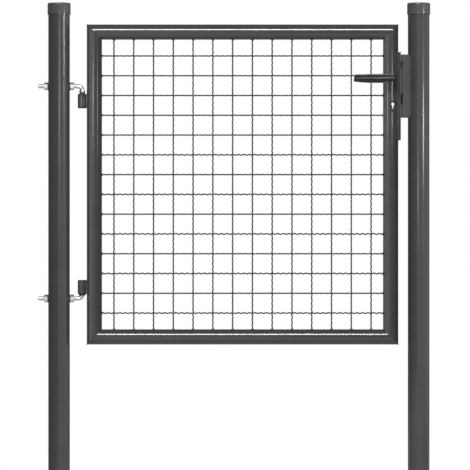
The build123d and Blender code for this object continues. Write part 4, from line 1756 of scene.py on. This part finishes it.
@dataclass
class Studio:
    """A pale floor, soft light and a camera far in front of the gate, level with its middle."""

    distance: float = 12.0
    centre_x: float = 0.4893
    centre_z: float = 0.8576
    view_width: float = 1.3070
    sensor: float = 36.0
    floor_radius: float = 3.0
    floor_centre_x: float = 0.5
    floor_steps: int = 96
    backdrop: float = 1.0
    ambient: float = 0.20
    boxes: tuple[SoftBox, ...] = (
        SoftBox("high strip", (0.4, -5.9, 5.7), (0.5, 0, 1.0), 3.6, 0.24, 560.0),
        SoftBox("posts front", (1.6, -4.2, 1.2), (0.7, 0, 1.0), 4.5, 3.5, 26.0, LightGroup.POSTS),
        SoftBox("posts side", (4.2, -0.6, 1.2), (0.5, 0, 1.0), 6.0, 3.5, 44.0, LightGroup.POSTS),
        SoftBox("leaf front", (-1.0, -4.2, 1.2), (0.4, 0, 1.0), 3.5, 3.5, 20.0, LightGroup.LEAF),
        SoftBox("leaf side", (-3.0, -0.4, 1.2), (0.5, 0, 1.0), 6.0, 3.5, 70.0, LightGroup.LEAF),
        SoftBox("posts strip", (0.4, -4.0, 1.37), (0.5, 0, 1.2), 0.14, 0.22, 5.0, LightGroup.POSTS),
        SoftBox("high side strip", (4.2, -2.65, 1.80), (0.5, 0, 1.4), 0.22, 0.34, 26.0, LightGroup.POSTS),
        SoftBox("left leaf strip", (-0.21, -1.0, 1.275), (0.1, 0, 1.25), 0.05, 0.20, 1.3, LightGroup.LEAF),
        SoftBox("right leaf strip", (1.28, -1.0, 1.275), (0.92, 0, 1.25), 0.05, 0.20, 1.3, LightGroup.LEAF),
    )

    def floor(self) -> None:
        """Lays a round floor under the posts."""
        form = Form()
        rings = []
        for radius in (self.floor_radius, self.floor_radius * 0.5, 0.05):
            ring = []
            for step in range(self.floor_steps):
                angle = TURN * step / self.floor_steps
                x = self.floor_centre_x + radius * math.cos(angle)
                ring.append(Vector((x, radius * math.sin(angle), 0)))
            rings.append(ring)
        form.skin(rings)
        form.mesh.faces.ensure_lookup_table()
        bmesh.ops.delete(form.mesh, geom=[form.mesh.faces[-2]], context="FACES_ONLY")
        mesh = form.to_mesh("studio_floor")
        mesh.materials.append(StudioFloor().build())
        floor = bpy.data.objects.new("studio_floor", mesh)
        bpy.context.scene.collection.objects.link(floor)

    def world(self) -> None:
        """Lights the scene evenly from all around, with a white backdrop."""
        world = bpy.data.worlds.new("studio")
        bpy.context.scene.world = world
        world.use_nodes = True
        nodes, links = world.node_tree.nodes, world.node_tree.links
        soft, white = nodes["Background"], nodes.new("ShaderNodeBackground")
        soft.inputs["Color"].default_value = (1, 1, 1, 1)
        soft.inputs["Strength"].default_value = self.ambient
        white.inputs["Strength"].default_value = self.backdrop
        white.inputs["Color"].default_value = (1, 1, 1, 1)
        choice, ray = nodes.new("ShaderNodeMixShader"), nodes.new("ShaderNodeLightPath")
        links.new(ray.outputs["Is Camera Ray"], choice.inputs[0])
        links.new(soft.outputs[0], choice.inputs[1])
        links.new(white.outputs[0], choice.inputs[2])
        links.new(choice.outputs[0], nodes["World Output"].inputs["Surface"])

    def camera(self) -> None:
        """Sets the camera level in front of the gate."""
        data = bpy.data.cameras.new("camera")
        data.sensor_width = self.sensor
        data.lens = self.sensor * self.distance / self.view_width
        data.clip_end = 10 * self.distance
        camera = bpy.data.objects.new("camera", data)
        camera.location = (self.centre_x, -self.distance, self.centre_z)
        camera.rotation_euler = (math.pi / 2, 0, 0)
        bpy.context.scene.collection.objects.link(camera)
        bpy.context.scene.camera = camera

    def build(self) -> None:
        """Sets up the floor, the lights and the camera."""
        bpy.context.scene.view_settings.view_transform = "Standard"
        self.floor()
        self.world()
        for box in self.boxes:
            box.build()
        self.camera()


def main() -> None:
    """Builds the gate and its studio."""
    palette = Palette()
    palette.dress_frame()
    Posts(palette).build()
    Hinges(palette).build()
    lock = Lock(palette)
    LeafFrame(palette).build(lock.stile_cuts())
    WireMesh(palette).build()
    lock.build()
    Lever(palette, "front_lever", -1).build()
    Lever(palette, "back_lever", 1).build()
    Strike(palette).build()
    Studio().build()


if __name__ == "__main__":
    logging.basicConfig(level=logging.INFO, format="%(name)s: %(message)s")
    main()
